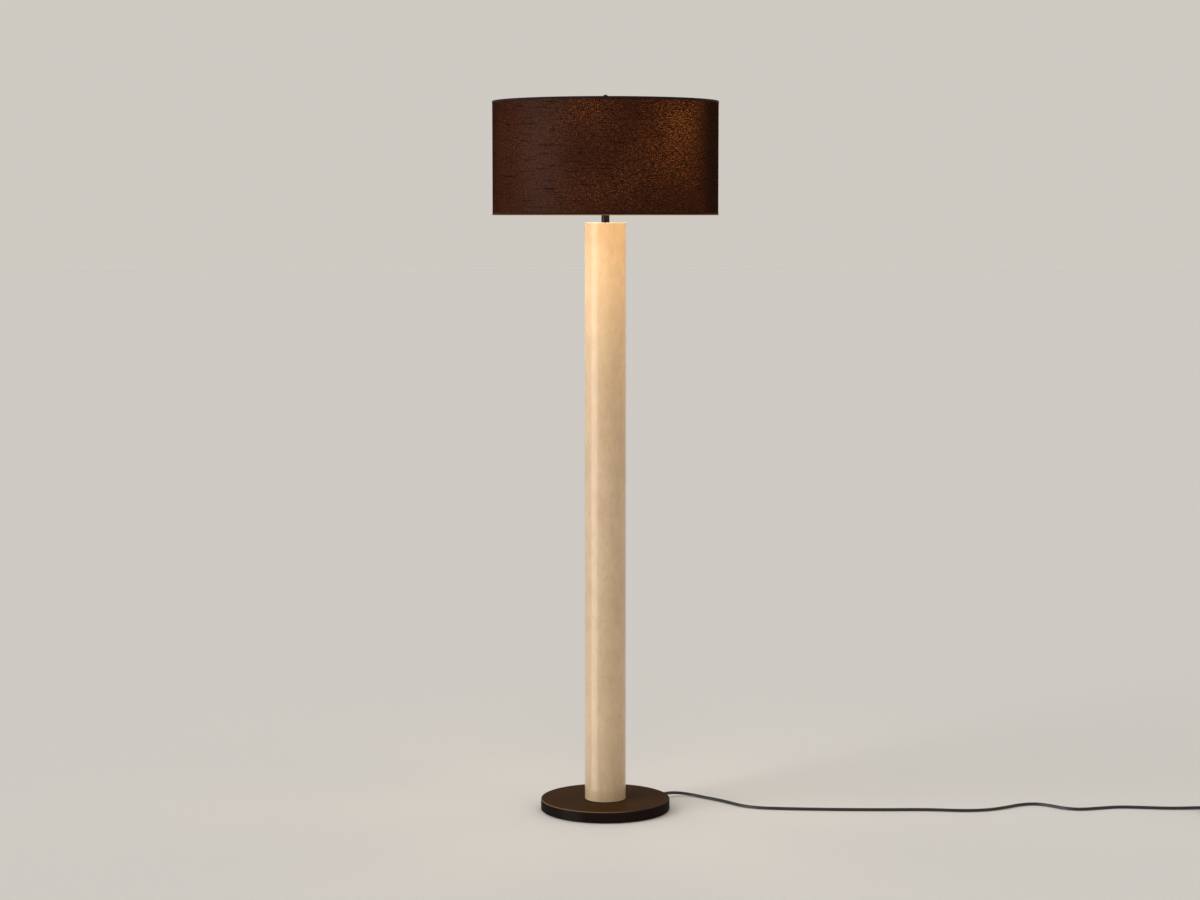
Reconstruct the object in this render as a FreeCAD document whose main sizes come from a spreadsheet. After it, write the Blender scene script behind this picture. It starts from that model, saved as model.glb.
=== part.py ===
"""Column floor lamp with a drum shade, in millimetres.

A heavy round plate carries a tall column of metal tube with a parchment-like skin.  A threaded
pipe runs up its middle and clamps the stack: plate, column, neck and lampholder.  A wire harp
carries the drum shade, which turns on the harp's stud under a finial.  The lead leaves the rim
at the back right, lies along the floor and ends in a small coil with its plug.

The origin is on the floor, on the column's axis.  +Z is up and -Y is the front.
"""
import FreeCAD, Part
import Sketcher
import math
import os
from types import SimpleNamespace

Vector = FreeCAD.Vector
PARTS_FOLDER = "parts"
WIRE_SIDES = 8  # corners of the section of a cord, an insulated wire or a shade ring

# ---------------------------------------------------------------------------------------------
# Driving dimensions: alias, value and what it is.  They become the cells of the sheet "Sizes".
# ---------------------------------------------------------------------------------------------
SIZES = [
    # plate and floor pad
    ("base_radius", 145.0, "plate, outside radius"),
    ("base_height", 26.0, "floor to the top of the plate"),
    ("pad_thickness", 2.0, "foam floor pad"),
    ("pad_inset", 5.0, "plate rim to pad rim"),
    ("edge_round", 1.6, "rounding of the plate's edges"),
    ("cut_clear", 1.0, "how far a cut starts or ends past the face that it opens"),
    ("pocket_radius", 22.0, "nut pocket under the plate"),
    ("pocket_roof", 8.0, "metal left above the nut pocket"),
    ("channel_margin", 1.0, "room round the lead in its channel"),
    ("channel_lap", 2.0, "channel's start inside the nut pocket"),
    # gland and lead
    ("exit_azimuth", 39.0, "direction of the gland, from +X, in degrees"),
    ("exit_height", 10.0, "height of the gland's axis"),
    ("relief_seat", 12.0, "depth of the gland's hole in the rim"),
    ("relief_neck_radius", 6.0, "gland in its hole"),
    ("relief_collar_radius", 7.5, "gland collar against the rim"),
    ("relief_collar", 2.5, "thickness of the gland collar"),
    ("relief_tail", 20.5, "length of the gland's tapered tail"),
    ("relief_root_radius", 5.8, "tail at the collar"),
    ("relief_tip_radius", 4.3, "tail at its tip"),
    ("cord_diameter", 7.0, "round mains lead"),
    ("lead_reach", 5.0, "lead's end inside the nut pocket"),
    ("wire_diameter", 2.2, "insulated wire inside the lead"),
    ("wire_offset", 1.35, "wire centre from the pipe's axis"),
    # pipe and clamp
    ("pipe_radius", 5.0, "threaded lamp pipe, outside"),
    ("pipe_bore", 3.4, "threaded lamp pipe, inside radius"),
    ("pipe_room", 0.25, "radial room in the holes that the pipe passes"),
    ("pipe_stand", 1.2, "pipe end beyond the base nut"),
    ("washer_radius", 14.0, "clamp washer"),
    ("washer_thickness", 1.8, "clamp washer"),
    ("nut_corner_radius", 9.8, "nuts, centre to corner"),
    ("base_nut_height", 4.0, "nut under the plate"),
    # column
    ("column_radius", 46.0, "column, outside"),
    ("column_height", 1294.0, "plate to the column's top edge"),
    ("sleeve_wall", 1.0, "parchment-like skin"),
    ("core_wall", 2.5, "metal tube"),
    ("slip_fit", 0.15, "radial room between turned discs and the tube"),
    ("foot_disc_height", 15.0, "centring disc in the column's foot"),
    ("cap_flange", 4.0, "top cap, part that lies on the tube"),
    ("cap_spigot", 10.0, "top cap, part inside the tube"),
    ("cap_spigot_wall", 8.0, "top cap, wall of its spigot"),
    ("neck_radius", 9.0, "neck under the lampholder"),
    ("neck_height", 18.0, "neck under the lampholder"),
    ("neck_chamfer", 0.8, "neck, both ends"),
    # saddle and harp
    ("saddle_thickness", 1.6, "saddle strip"),
    ("saddle_width", 14.0, "saddle strip"),
    ("saddle_reach", 28.0, "axis to the outer face of a lug"),
    ("saddle_bend", 2.4, "inside radius of the saddle's bends"),
    ("lug_width", 5.0, "upright lug of the saddle"),
    ("lug_height", 16.0, "saddle's underside to the lug's tip"),
    ("harp_wire", 3.4, "diameter of the harp's wire"),
    ("harp_reach", 58.0, "axis to the harp's wire at its widest"),
    ("harp_leg", 42.0, "neck top to the corner above the straight leg"),
    ("harp_flare", 46.0, "height over which the harp widens"),
    ("harp_crown", 50.0, "height over which the harp closes in"),
    ("harp_top_reach", 20.0, "axis to the corner of the harp's flat top"),
    ("harp_leg_bend", 30.0, "bend above the straight leg"),
    ("harp_flare_bend", 60.0, "bend where the harp is widest, below"),
    ("harp_crown_bend", 54.0, "bend where the harp is widest, above"),
    ("harp_top_bend", 20.0, "bend beside the flat top"),
    ("harp_room", 0.1, "lug to the harp's leg"),
    ("ferrule_length", 13.0, "sleeve that locks a leg to its lug"),
    ("ferrule_wall", 0.8, "sleeve that locks a leg to its lug"),
    ("ferrule_room", 0.35, "ferrule to the lug's corners"),
    ("eye_radius", 6.5, "eye at the top of the harp"),
    ("eye_height", 5.0, "eye at the top of the harp"),
    ("stud_pin_radius", 2.6, "stud in the eye"),
    ("stud_head_radius", 4.4, "riveted end under the eye"),
    ("stud_head", 1.2, "thickness of the riveted end"),
    ("stud_shoulder_radius", 5.6, "shoulder that the shade's hub sits on"),
    ("stud_shoulder", 5.0, "height of that shoulder"),
    ("stud_thread_radius", 3.1, "thread that takes the finial"),
    ("stud_thread", 12.0, "hub's top to the stud's tip"),
    ("stud_chamfer", 1.0, "stud's tip"),
    ("running_gap", 0.3, "gap between pieces that turn or slide on each other"),
    # lampholder
    ("locknut_height", 3.4, "nut on the saddle"),
    ("cap_height", 22.0, "lampholder cap"),
    ("cap_hub_radius", 7.0, "lampholder cap, hub"),
    ("cap_hub_height", 6.0, "lampholder cap, hub"),
    ("cap_wall", 0.6, "lampholder cap"),
    ("cap_overlap", 5.0, "shell inside the cap"),
    ("socket_radius", 16.5, "lampholder shell, outside"),
    ("socket_wall", 0.5, "lampholder shell"),
    ("socket_length", 45.0, "lampholder shell"),
    ("socket_fit", 0.1, "radial room between the lampholder's tubes"),
    ("insulator_wall", 0.8, "insulating tube"),
    ("interior_sunk", 2.5, "moulded body below the shell's lower edge"),
    ("interior_height", 19.5, "moulded body"),
    ("interior_flat", 8.0, "axis to the flats that carry the terminals"),
    ("interior_crown", 4.0, "round top of the moulded body, above its flats"),
    ("switch_height", 9.0, "shell's lower edge to the switch axis"),
    ("screw_shell_radius", 13.35, "threaded shell, inside"),
    ("screw_shell_wall", 0.35, "threaded shell"),
    ("screw_shell_height", 23.0, "threaded shell"),
    ("screw_shell_hole", 6.7, "hole in the threaded shell's floor, radius"),
    ("contact_height", 3.4, "spring tongue under the bulb's tip"),
    ("tongue_strip", 0.5, "spring tongue, thickness"),
    ("tongue_width", 4.7, "spring tongue"),
    ("tongue_foot", 5.0, "axis to the fixed end of the tongue"),
    ("tongue_reach", 4.0, "axis to the free end of the tongue"),
    ("screw_rise", 1.0, "terminal screws above the switch axis"),
    ("screw_head_radius", 3.0, "terminal screw"),
    ("screw_head", 1.5, "terminal screw, height of its head"),
    ("screw_shank_radius", 1.5, "terminal screw"),
    ("screw_shank", 4.0, "terminal screw, length in the body"),
    ("shaft_radius", 1.9, "switch shaft"),
    ("shaft_start", 4.0, "lamp's axis to the inner end of the switch shaft"),
    ("knob_gap", 3.5, "shell to the knob"),
    ("knob_radius", 6.5, "turn knob"),
    ("knob_length", 12.0, "turn knob"),
    ("knob_edge", 1.0, "chamfer at the back of the knob"),
    ("knob_dome", 2.0, "rounding at the front of the knob"),
    ("knob_flutes", 12.0, "number of flutes round the knob"),
    ("flute_radius", 1.0, "flutes"),
    ("flute_length", 9.0, "flutes, from the front of the knob"),
    # bulb
    ("bulb_radius", 30.0, "globe"),
    ("bulb_length", 110.0, "contact tip to the top of the globe"),
    ("bulb_cap_radius", 12.9, "bulb's screw cap, over the threads"),
    ("bulb_cap_length", 26.0, "contact tip to the housing"),
    ("bulb_tip_height", 7.2, "contact and insulator below the screw cap"),
    ("bulb_tip_radius", 4.6, "contact"),
    ("bulb_tip_dome", 1.0, "contact, height of its dome"),
    ("bulb_foot_radius", 11.0, "insulator where it meets the screw cap"),
    ("bulb_thread_depth", 0.7, "rolled threads of the screw cap"),
    ("housing_step", 0.6, "housing beyond the screw cap"),
    ("housing_flank", 32.0, "radius of the housing's swelling side"),
    ("globe_flank", 60.0, "radius of the globe's side between housing and ball"),
    ("housing_length", 16.0, "bulb's housing"),
    ("housing_radius", 18.5, "bulb's housing where the globe sits"),
    # shade
    ("shade_radius", 250.0, "drum shade, over its trims"),
    ("shade_height", 250.0, "drum shade, over its trims"),
    ("shade_drop", 2.0, "neck top to the shade's lower edge"),
    ("spider_drop", 13.0, "shade's upper edge to the hub's top"),
    ("hub_radius", 10.0, "spider's hub"),
    ("hub_thickness", 1.6, "spider's hub"),
    ("ring_wire", 3.0, "diameter of both rings' wire"),
    ("ring_room", 0.4, "rings' wire to the lining, filled with glue"),
    ("arm_wire", 2.6, "diameter of the spider's arms"),
    ("arm_level", 70.0, "axis to the bend in an arm"),
    ("arm_count", 3.0, "spider's arms"),
    ("cover_wall", 0.5, "shade cloth"),
    ("liner_wall", 0.4, "stiff lining sheet"),
    ("trim_wall", 0.4, "edge binding"),
    ("trim_height", 4.5, "edge binding"),
    ("finial_height", 27.5, "finial"),
    ("finial_radius", 6.5, "finial, foot and ball"),
    ("finial_waist", 4.7, "finial, radius of its waist"),
    ("finial_foot", 2.0, "finial, thickness of its foot"),
    ("finial_slope", 1.5, "finial, foot to waist"),
    ("finial_headroom", 1.0, "stud's tip to the end of the finial's bore"),
    ("thread_room", 0.2, "radial room in the finial's thread"),
    # coil, tie and plug
    ("coil_start", 1383.0, "lamp's axis to the point where the coil starts, to the right"),
    ("coil_side", -7.0, "the same point, front to back"),
    ("turn_gap", 0.6, "gap between neighbouring turns and between layers"),
    ("coil_inner_radius", 28.0, "tightest turn, to the cord's centre"),
    ("layer_turns", 2.5, "turns wound in, and again wound out"),
    ("tie_strap", 0.8, "thickness of the strap"),
    ("tie_width", 9.0, "strap"),
    ("tie_room", 0.3, "room between the strap and the turns"),
    ("boot_length", 26.0, "tapered tail of the plug"),
    ("boot_root_radius", 5.6, "tail where it meets the plug's block"),
    ("boot_groove", 0.7, "depth of the tail's grooves"),
    ("plug_length", 30.0, "plug body"),
    ("plug_thickness", 14.0, "plug body"),
    ("plug_corner", 3.9, "plug body, corners seen from the front"),
    ("plug_edge", 1.5, "plug body, rounding of both ends"),
    ("blade_length", 17.0, "contact blade"),
    ("blade_width", 6.3, "contact blade"),
    ("blade_thickness", 1.5, "contact blade"),
    ("blade_spacing", 12.7, "centre to centre of the blades"),
]


class Size:
    """A length as a number, for the first geometry, and as a formula on the sheet, which drives it."""

    def __init__(self, number, formula):
        self.number = number
        self.formula = formula

    def __add__(self, other):
        other = as_size(other)
        return Size(self.number + other.number, f"({self.formula} + {other.formula})")

    def __sub__(self, other):
        other = as_size(other)
        return Size(self.number - other.number, f"({self.formula} - {other.formula})")

    def __mul__(self, factor):
        factor = as_size(factor)
        return Size(self.number * factor.number, f"({self.formula} * {factor.formula})")

    def __truediv__(self, divisor):
        divisor = as_size(divisor)
        return Size(self.number / divisor.number, f"({self.formula} / {divisor.formula})")

    def __neg__(self):
        return Size(-self.number, f"(0 - {self.formula})")


def as_size(value):
    """A Size as it is, and a plain number as a Size with no cell behind it."""
    if isinstance(value, Size):
        return value
    return Size(float(value), f"({float(value)})")


doc = FreeCAD.newDocument("column_floor_lamp")
sheet = doc.addObject("Spreadsheet::Sheet", "Sizes")
for row, (alias, value, meaning) in enumerate(SIZES, start=1):
    sheet.set(f"A{row}", alias)
    sheet.set(f"B{row}", str(value))
    sheet.set(f"C{row}", meaning)
    sheet.setAlias(f"B{row}", alias)
doc.recompute()
s = SimpleNamespace(**{alias: Size(value, f"Sizes.{alias}") for alias, value, _ in SIZES})

sub_parts = []


# ---------------------------------------------------------------------------------------------
# Sketches and the ways of making that several pieces share
# ---------------------------------------------------------------------------------------------
def bind(thing, path, size):
    """Tie one property of an object to the sheet."""
    thing.setExpression(path, as_size(size).formula)


def new_body(label):
    """An empty body that becomes the sub-part of that name."""
    body = doc.addObject("PartDesign::Body", label)
    body.Label = label
    sub_parts.append(body)
    return body


def origin_part(body, role):
    """One of a body's own origin planes or axes."""
    return next(feature for feature in body.Origin.OriginFeatures if feature.Role == role)


def new_sketch(body, role, offset=None):
    """A sketch on one of the body's own origin planes, moved along that plane's normal."""
    sketch = body.newObject("Sketcher::SketchObject", "sketch")
    sketch.AttachmentSupport = [(origin_part(body, role), "")]
    sketch.MapMode = "FlatFace"
    if offset is not None:
        bind(sketch, "AttachmentOffset.Base.z", offset)
    return sketch


def pin_point(sketch, index, end, x, y):
    """Dimension one end of a sketch element from the sketch's origin."""
    for kind, value, axis in (("DistanceX", as_size(x), -2), ("DistanceY", as_size(y), -1)):
        if value.number == 0:
            sketch.addConstraint(Sketcher.Constraint("PointOnObject", index, end, axis))
            continue
        place = sketch.addConstraint(Sketcher.Constraint(kind, -1, 1, index, end, value.number))
        sketch.setExpression(f"Constraints[{place}]", value.formula)


def arc_between(start, end, radius):
    """A short arc from start to end, as a counter-clockwise arc and whether that runs backwards.

    A positive radius has its centre to the left of the way from start to end.
    """
    chord = end - start
    rise = math.sqrt(radius * radius - chord.Length * chord.Length / 4)
    left = Vector(-chord.y, chord.x, 0).normalize()
    centre = (start + end) * 0.5 + left * (rise if radius > 0 else -rise)
    first, last = (start, end) if radius > 0 else (end, start)
    angles = [math.atan2(p.y - centre.y, p.x - centre.x) for p in (first, last)]
    if angles[1] < angles[0]:
        angles[1] += 2 * math.pi
    circle = Part.Circle(centre, Vector(0, 0, 1), abs(radius))
    return Part.ArcOfCircle(circle, angles[0], angles[1]), radius < 0


def draw_outline(sketch, corners):
    """A closed outline of lines and arcs.  A corner is (x, y), or (x, y, r) if an arc of radius r
    leads to it from the corner before, with r below zero where that arc runs clockwise."""
    points = [Vector(as_size(c[0]).number, as_size(c[1]).number, 0) for c in corners]
    count = len(corners)
    heads = []
    tails = []
    for i in range(count):
        target = corners[(i + 1) % count]
        start, end = points[i], points[(i + 1) % count]
        if len(target) == 2:
            index = sketch.addGeometry(Part.LineSegment(start, end), False)
            backwards = False
        else:
            radius = as_size(target[2])
            arc, backwards = arc_between(start, end, radius.number)
            index = sketch.addGeometry(arc, False)
            place = sketch.addConstraint(Sketcher.Constraint("Radius", index, abs(radius.number)))
            size = radius if radius.number > 0 else -radius
            sketch.setExpression(f"Constraints[{place}]", size.formula)
        heads.append((index, 2 if backwards else 1))
        tails.append((index, 1 if backwards else 2))
    for i in range(count):
        tail, head = tails[i], heads[(i + 1) % count]
        sketch.addConstraint(Sketcher.Constraint("Coincident", tail[0], tail[1], head[0], head[1]))
    for (index, end), corner in zip(heads, corners):
        pin_point(sketch, index, end, corner[0], corner[1])


def draw_circle(sketch, x, y, radius):
    """A circle, dimensioned by its centre and its radius."""
    centre = Vector(as_size(x).number, as_size(y).number, 0)
    index = sketch.addGeometry(Part.Circle(centre, Vector(0, 0, 1), radius.number), False)
    place = sketch.addConstraint(Sketcher.Constraint("Radius", index, radius.number))
    sketch.setExpression(f"Constraints[{place}]", radius.formula)
    pin_point(sketch, index, 3, x, y)


def draw_bent_wire(sketch, corners):
    """An open path of straight runs joined by tangent arcs.  Each inner corner is (x, y, radius):
    it is a construction point that both of its runs point at."""
    marks = [Vector(as_size(c[0]).number, as_size(c[1]).number, 0) for c in corners]
    cuts = [0.0]
    for i in range(1, len(marks) - 1):
        turn = (marks[i] - marks[i - 1]).getAngle(marks[i + 1] - marks[i])
        cuts.append(corners[i][2].number * math.tan(turn / 2))
    cuts.append(0.0)
    runs = []
    for i in range(len(marks) - 1):
        way = (marks[i + 1] - marks[i]).normalize()
        line = Part.LineSegment(marks[i] + way * cuts[i], marks[i + 1] - way * cuts[i + 1])
        runs.append(sketch.addGeometry(line, False))
    pin_point(sketch, runs[0], 1, *corners[0][:2])
    pin_point(sketch, runs[-1], 2, *corners[-1][:2])
    for i in range(1, len(marks) - 1):
        mark = sketch.addGeometry(Part.Point(marks[i]), True)
        pin_point(sketch, mark, 1, *corners[i][:2])
        radius = corners[i][2]
        before, after = (sketch.Geometry[runs[k]] for k in (i - 1, i))
        side = (marks[i] - marks[i - 1]).cross(marks[i + 1] - marks[i]).z
        arc, backwards = arc_between(before.EndPoint, after.StartPoint, math.copysign(radius.number, side))
        bend = sketch.addGeometry(arc, False)
        first, last = (2, 1) if backwards else (1, 2)
        sketch.addConstraint(Sketcher.Constraint("Tangent", runs[i - 1], 2, bend, first))
        sketch.addConstraint(Sketcher.Constraint("Tangent", bend, last, runs[i], 1))
        for run in (runs[i - 1], runs[i]):
            sketch.addConstraint(Sketcher.Constraint("PointOnObject", mark, 1, run))
        place = sketch.addConstraint(Sketcher.Constraint("Radius", bend, radius.number))
        sketch.setExpression(f"Constraints[{place}]", radius.formula)


def revolve(body, corners):
    """Turn an outline, given as (radius, height) corners, about the body's Z axis."""
    sketch = new_sketch(body, "XZ_Plane")
    draw_outline(sketch, corners)
    turned = body.newObject("PartDesign::Revolution", "turned")
    turned.Profile = sketch
    turned.ReferenceAxis = (sketch, ["V_Axis"])
    turned.Angle = 360
    return turned


def turned_part(label, corners):
    """A sub-part made on the lathe."""
    body = new_body(label)
    revolve(body, corners)
    return body


def tube_part(label, inner, outer, low, high):
    """A plain turned tube or ring."""
    return turned_part(label, [(inner, low), (outer, low), (outer, high), (inner, high)])


def pad(body, sketch, length, both_ways=False):
    """Extrude a sketch along its normal."""
    feature = body.newObject("PartDesign::Pad", "pad")
    feature.Profile = sketch
    feature.SideType = "Symmetric" if both_ways else "One side"
    bind(feature, "Length", length)
    return feature


def pocket(body, sketch, length, both_ways=False):
    """Cut a sketch into the body, against its normal or to both sides of it."""
    feature = body.newObject("PartDesign::Pocket", "pocket")
    feature.Profile = sketch
    feature.SideType = "Symmetric" if both_ways else "One side"
    bind(feature, "Length", length)
    return feature


def round_edges(body, feature, wanted, radius):
    """Round the edges of a feature that the test picks out."""
    doc.recompute()
    names = [f"Edge{i}" for i, edge in enumerate(feature.Shape.Edges, start=1) if wanted(edge)]
    rounding = body.newObject("PartDesign::Fillet", "rounding")
    rounding.Base = (feature, names)
    bind(rounding, "Radius", radius)
    return rounding


def is_circle(edge, radius, height):
    """Whether an edge is a full circle about Z, of that radius and at that height."""
    curve = edge.Curve
    if not isinstance(curve, Part.Circle):
        return False
    near_radius = abs(curve.Radius - radius.number) < 1e-4
    return near_radius and abs(curve.Center.z - height.number) < 1e-4


def nut(label, low, height, hole):
    """A hexagon nut: a prism with a plain hole."""
    prism = doc.addObject("Part::Prism", f"{label}_prism")
    prism.Polygon = 6
    bind(prism, "Circumradius", s.nut_corner_radius)
    bind(prism, "Height", height)
    bind(prism, "Placement.Base.z", low)
    bore = doc.addObject("Part::Cylinder", f"{label}_bore")
    bind(bore, "Radius", hole)
    bind(bore, "Height", height)
    bind(bore, "Placement.Base.z", low)
    cut = doc.addObject("Part::Cut", label)
    cut.Label = label
    cut.Base = prism
    cut.Tool = bore
    sub_parts.append(cut)
    return cut


def face_exit(body):
    """Turn a body that is drawn along +X to the side where the lead leaves."""
    body.Placement = FreeCAD.Placement(Vector(), FreeCAD.Rotation(Vector(0, 0, 1), s.exit_azimuth.number))
    bind(body, "Placement.Rotation.Angle", s.exit_azimuth)


# ---------------------------------------------------------------------------------------------
# Levels and radii that several pieces share, worked out from the driving dimensions
# ---------------------------------------------------------------------------------------------
pocket_top = s.base_height - s.pocket_roof
pipe_hole = s.pipe_radius + s.pipe_room
cord_radius = s.cord_diameter / 2
core_radius = s.column_radius - s.sleeve_wall
core_bore = core_radius - s.core_wall
column_top = s.base_height + s.column_height
core_top = column_top - s.cap_flange
neck_top = column_top + s.neck_height
saddle_top = neck_top + s.saddle_thickness
locknut_top = saddle_top + s.locknut_height
hub_top = locknut_top + s.cap_hub_height
cap_top = locknut_top + s.cap_height
shell_low = cap_top - s.cap_overlap
shell_top = shell_low + s.socket_length
interior_low = shell_low - s.interior_sunk
interior_top = interior_low + s.interior_height
bulb_tip_level = interior_top + s.screw_shell_wall + s.contact_height
shade_low = neck_top - s.shade_drop
shade_top = shade_low + s.shade_height
spider_top = shade_top - s.spider_drop
spider_low = spider_top - s.hub_thickness
shoulder_low = spider_low - s.stud_shoulder
eye_top = shoulder_low - s.running_gap
eye_middle = eye_top - s.eye_height / 2
relief_end = s.base_radius + s.relief_collar + s.relief_tail


# ---------------------------------------------------------------------------------------------
# Base: a cast plate with a nut pocket, a channel for the lead and a hole for its gland, all
# drawn along +X and turned to the exit
# ---------------------------------------------------------------------------------------------
plate = turned_part("base_plate", [
    (pipe_hole, pocket_top),
    (s.pocket_radius, pocket_top),
    (s.pocket_radius, s.pad_thickness),
    (s.base_radius, s.pad_thickness),
    (s.base_radius, s.base_height),
    (pipe_hole, s.base_height),
])
channel_half = cord_radius + s.channel_margin
channel_top = s.exit_height + channel_half
channel_start = s.pocket_radius - s.channel_lap
channel_end = s.base_radius - s.relief_seat
channel = new_sketch(plate, "XY_Plane", channel_top)
draw_outline(channel, [
    (channel_start, -channel_half),
    (channel_end, -channel_half),
    (channel_end, channel_half),
    (channel_start, channel_half),
])
pocket(plate, channel, channel_top - s.pad_thickness)
gland_hole = new_sketch(plate, "YZ_Plane", s.base_radius + s.cut_clear)
draw_circle(gland_hole, 0, s.exit_height, s.relief_neck_radius)
bored = pocket(plate, gland_hole, s.relief_seat + s.cut_clear * 2)
round_edges(
    plate,
    bored,
    lambda e: is_circle(e, s.base_radius, s.base_height) or is_circle(e, s.base_radius, s.pad_thickness),
    s.edge_round,
)
face_exit(plate)

floor_pad = doc.addObject("Part::Cylinder", "base_pad")
floor_pad.Label = "base_pad"
bind(floor_pad, "Radius", s.base_radius - s.pad_inset)
bind(floor_pad, "Height", s.pad_thickness)
sub_parts.append(floor_pad)

washer_low = pocket_top - s.washer_thickness
nut_low = washer_low - s.base_nut_height
tube_part("base_washer", pipe_hole, s.washer_radius, washer_low, pocket_top)
nut("base_nut", nut_low, s.base_nut_height, s.pipe_radius)

# The gland is turned about the lead's axis: drawn about Z, then laid down along the exit.
relief = turned_part("strain_relief", [
    (cord_radius, s.base_radius - s.relief_seat),
    (s.relief_neck_radius, s.base_radius - s.relief_seat),
    (s.relief_neck_radius, s.base_radius),
    (s.relief_collar_radius, s.base_radius),
    (s.relief_collar_radius, s.base_radius + s.relief_collar),
    (s.relief_root_radius, s.base_radius + s.relief_collar),
    (s.relief_tip_radius, relief_end),
    (cord_radius, relief_end),
])
lead_start = s.pocket_radius - s.lead_reach
lead_in = turned_part("lead_in", [
    (0, lead_start),
    (cord_radius, lead_start),
    (cord_radius, relief_end),
    (0, relief_end),
])
exit_azimuth = math.radians(s.exit_azimuth.number)
exit_way = Vector(math.cos(exit_azimuth), math.sin(exit_azimuth), 0)
for laid in (relief, lead_in):
    laid.Placement = FreeCAD.Placement(Vector(), FreeCAD.Rotation(Vector(0, 0, 1), exit_way))
    bind(laid, "Placement.Base.z", s.exit_height)


# ---------------------------------------------------------------------------------------------
# Column: centring disc, metal tube, skin, top cap, pipe and neck
# ---------------------------------------------------------------------------------------------
tube_part("foot_disc", pipe_hole, core_bore - s.slip_fit, s.base_height, s.base_height + s.foot_disc_height)
tube_part("column_core", core_bore, core_radius, s.base_height, core_top)
tube_part("column_sleeve", core_radius, s.column_radius, s.base_height, column_top)

spigot_radius = core_bore - s.slip_fit
spigot_low = core_top - s.cap_spigot
turned_part("top_cap", [
    (pipe_hole, core_top),
    (spigot_radius - s.cap_spigot_wall, core_top),
    (spigot_radius - s.cap_spigot_wall, spigot_low),
    (spigot_radius, spigot_low),
    (spigot_radius, core_top),
    (core_radius - s.slip_fit, core_top),
    (core_radius - s.slip_fit, column_top),
    (pipe_hole, column_top),
])
pipe_low = nut_low - s.pipe_stand
pipe_top = hub_top + s.cap_wall
tube_part("lamp_pipe", s.pipe_bore, s.pipe_radius, pipe_low, pipe_top)
turned_part("neck", [
    (pipe_hole, column_top),
    (s.neck_radius - s.neck_chamfer, column_top),
    (s.neck_radius, column_top + s.neck_chamfer),
    (s.neck_radius, neck_top - s.neck_chamfer),
    (s.neck_radius - s.neck_chamfer, neck_top),
    (pipe_hole, neck_top),
])


# ---------------------------------------------------------------------------------------------
# Saddle: a strip bent up at both ends, narrowed to lugs that the ferrules slide over
# ---------------------------------------------------------------------------------------------
bend_outside = s.saddle_bend + s.saddle_thickness
bend_level = neck_top + bend_outside
lug_inner = s.saddle_reach - s.saddle_thickness
lug_tip = neck_top + s.lug_height
bend_reach = s.saddle_reach - bend_outside
saddle = new_body("harp_saddle")
strip = new_sketch(saddle, "XZ_Plane")
draw_outline(strip, [
    (-s.saddle_reach, lug_tip),
    (-s.saddle_reach, bend_level),
    (-bend_reach, neck_top, bend_outside),
    (bend_reach, neck_top),
    (s.saddle_reach, bend_level, bend_outside),
    (s.saddle_reach, lug_tip),
    (lug_inner, lug_tip),
    (lug_inner, bend_level),
    (bend_reach, saddle_top, -s.saddle_bend),
    (-bend_reach, saddle_top),
    (-lug_inner, bend_level, -s.saddle_bend),
    (-lug_inner, lug_tip),
])
pad(saddle, strip, s.saddle_width, both_ways=True)
for side in (1, -1):
    waist = new_sketch(saddle, "YZ_Plane")
    draw_outline(waist, [
        (s.lug_width / 2 * side, bend_level),
        ((s.saddle_width / 2 + s.cut_clear) * side, bend_level),
        ((s.saddle_width / 2 + s.cut_clear) * side, lug_tip + s.cut_clear),
        (s.lug_width / 2 * side, lug_tip + s.cut_clear),
    ])
    pocket(saddle, waist, (s.saddle_reach + s.cut_clear) * 2, both_ways=True)
saddle_hole = new_sketch(saddle, "XY_Plane", saddle_top + s.cut_clear)
draw_circle(saddle_hole, 0, 0, pipe_hole)
pocket(saddle, saddle_hole, s.saddle_thickness + s.cut_clear * 2)

nut("socket_locknut", saddle_top, s.locknut_height, s.pipe_radius)


# ---------------------------------------------------------------------------------------------
# Harp: one wire bent into a bow, with an eye at its top in which the stud turns
# ---------------------------------------------------------------------------------------------
leg_reach = s.saddle_reach + s.harp_room + s.harp_wire / 2
leg_low = bend_level + s.running_gap
leg_corner = neck_top + s.harp_leg
flare_corner = leg_corner + s.harp_flare
crown_corner = eye_middle - s.harp_crown
harp = new_body("harp_loop")
bow = new_sketch(harp, "XZ_Plane")
draw_bent_wire(bow, [
    (leg_reach, leg_low),
    (leg_reach, leg_corner, s.harp_leg_bend),
    (s.harp_reach, flare_corner, s.harp_flare_bend),
    (s.harp_reach, crown_corner, s.harp_crown_bend),
    (s.harp_top_reach, eye_middle, s.harp_top_bend),
    (-s.harp_top_reach, eye_middle, s.harp_top_bend),
    (-s.harp_reach, crown_corner, s.harp_crown_bend),
    (-s.harp_reach, flare_corner, s.harp_flare_bend),
    (-leg_reach, leg_corner, s.harp_leg_bend),
    (-leg_reach, leg_low),
])
wire_section = new_sketch(harp, "XY_Plane", leg_low)
draw_circle(wire_section, leg_reach, 0, s.harp_wire / 2)
wire = harp.newObject("PartDesign::AdditivePipe", "wire")
wire.Profile = wire_section
wire.Spine = (bow, [""])
eye = new_sketch(harp, "XY_Plane", eye_top - s.eye_height)
draw_circle(eye, 0, 0, s.eye_radius)
pad(harp, eye, s.eye_height)
eye_bore = new_sketch(harp, "XY_Plane", eye_top + s.cut_clear)
draw_circle(eye_bore, 0, 0, s.stud_pin_radius + s.running_gap)
pocket(harp, eye_bore, s.eye_height + s.cut_clear * 2)

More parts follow.
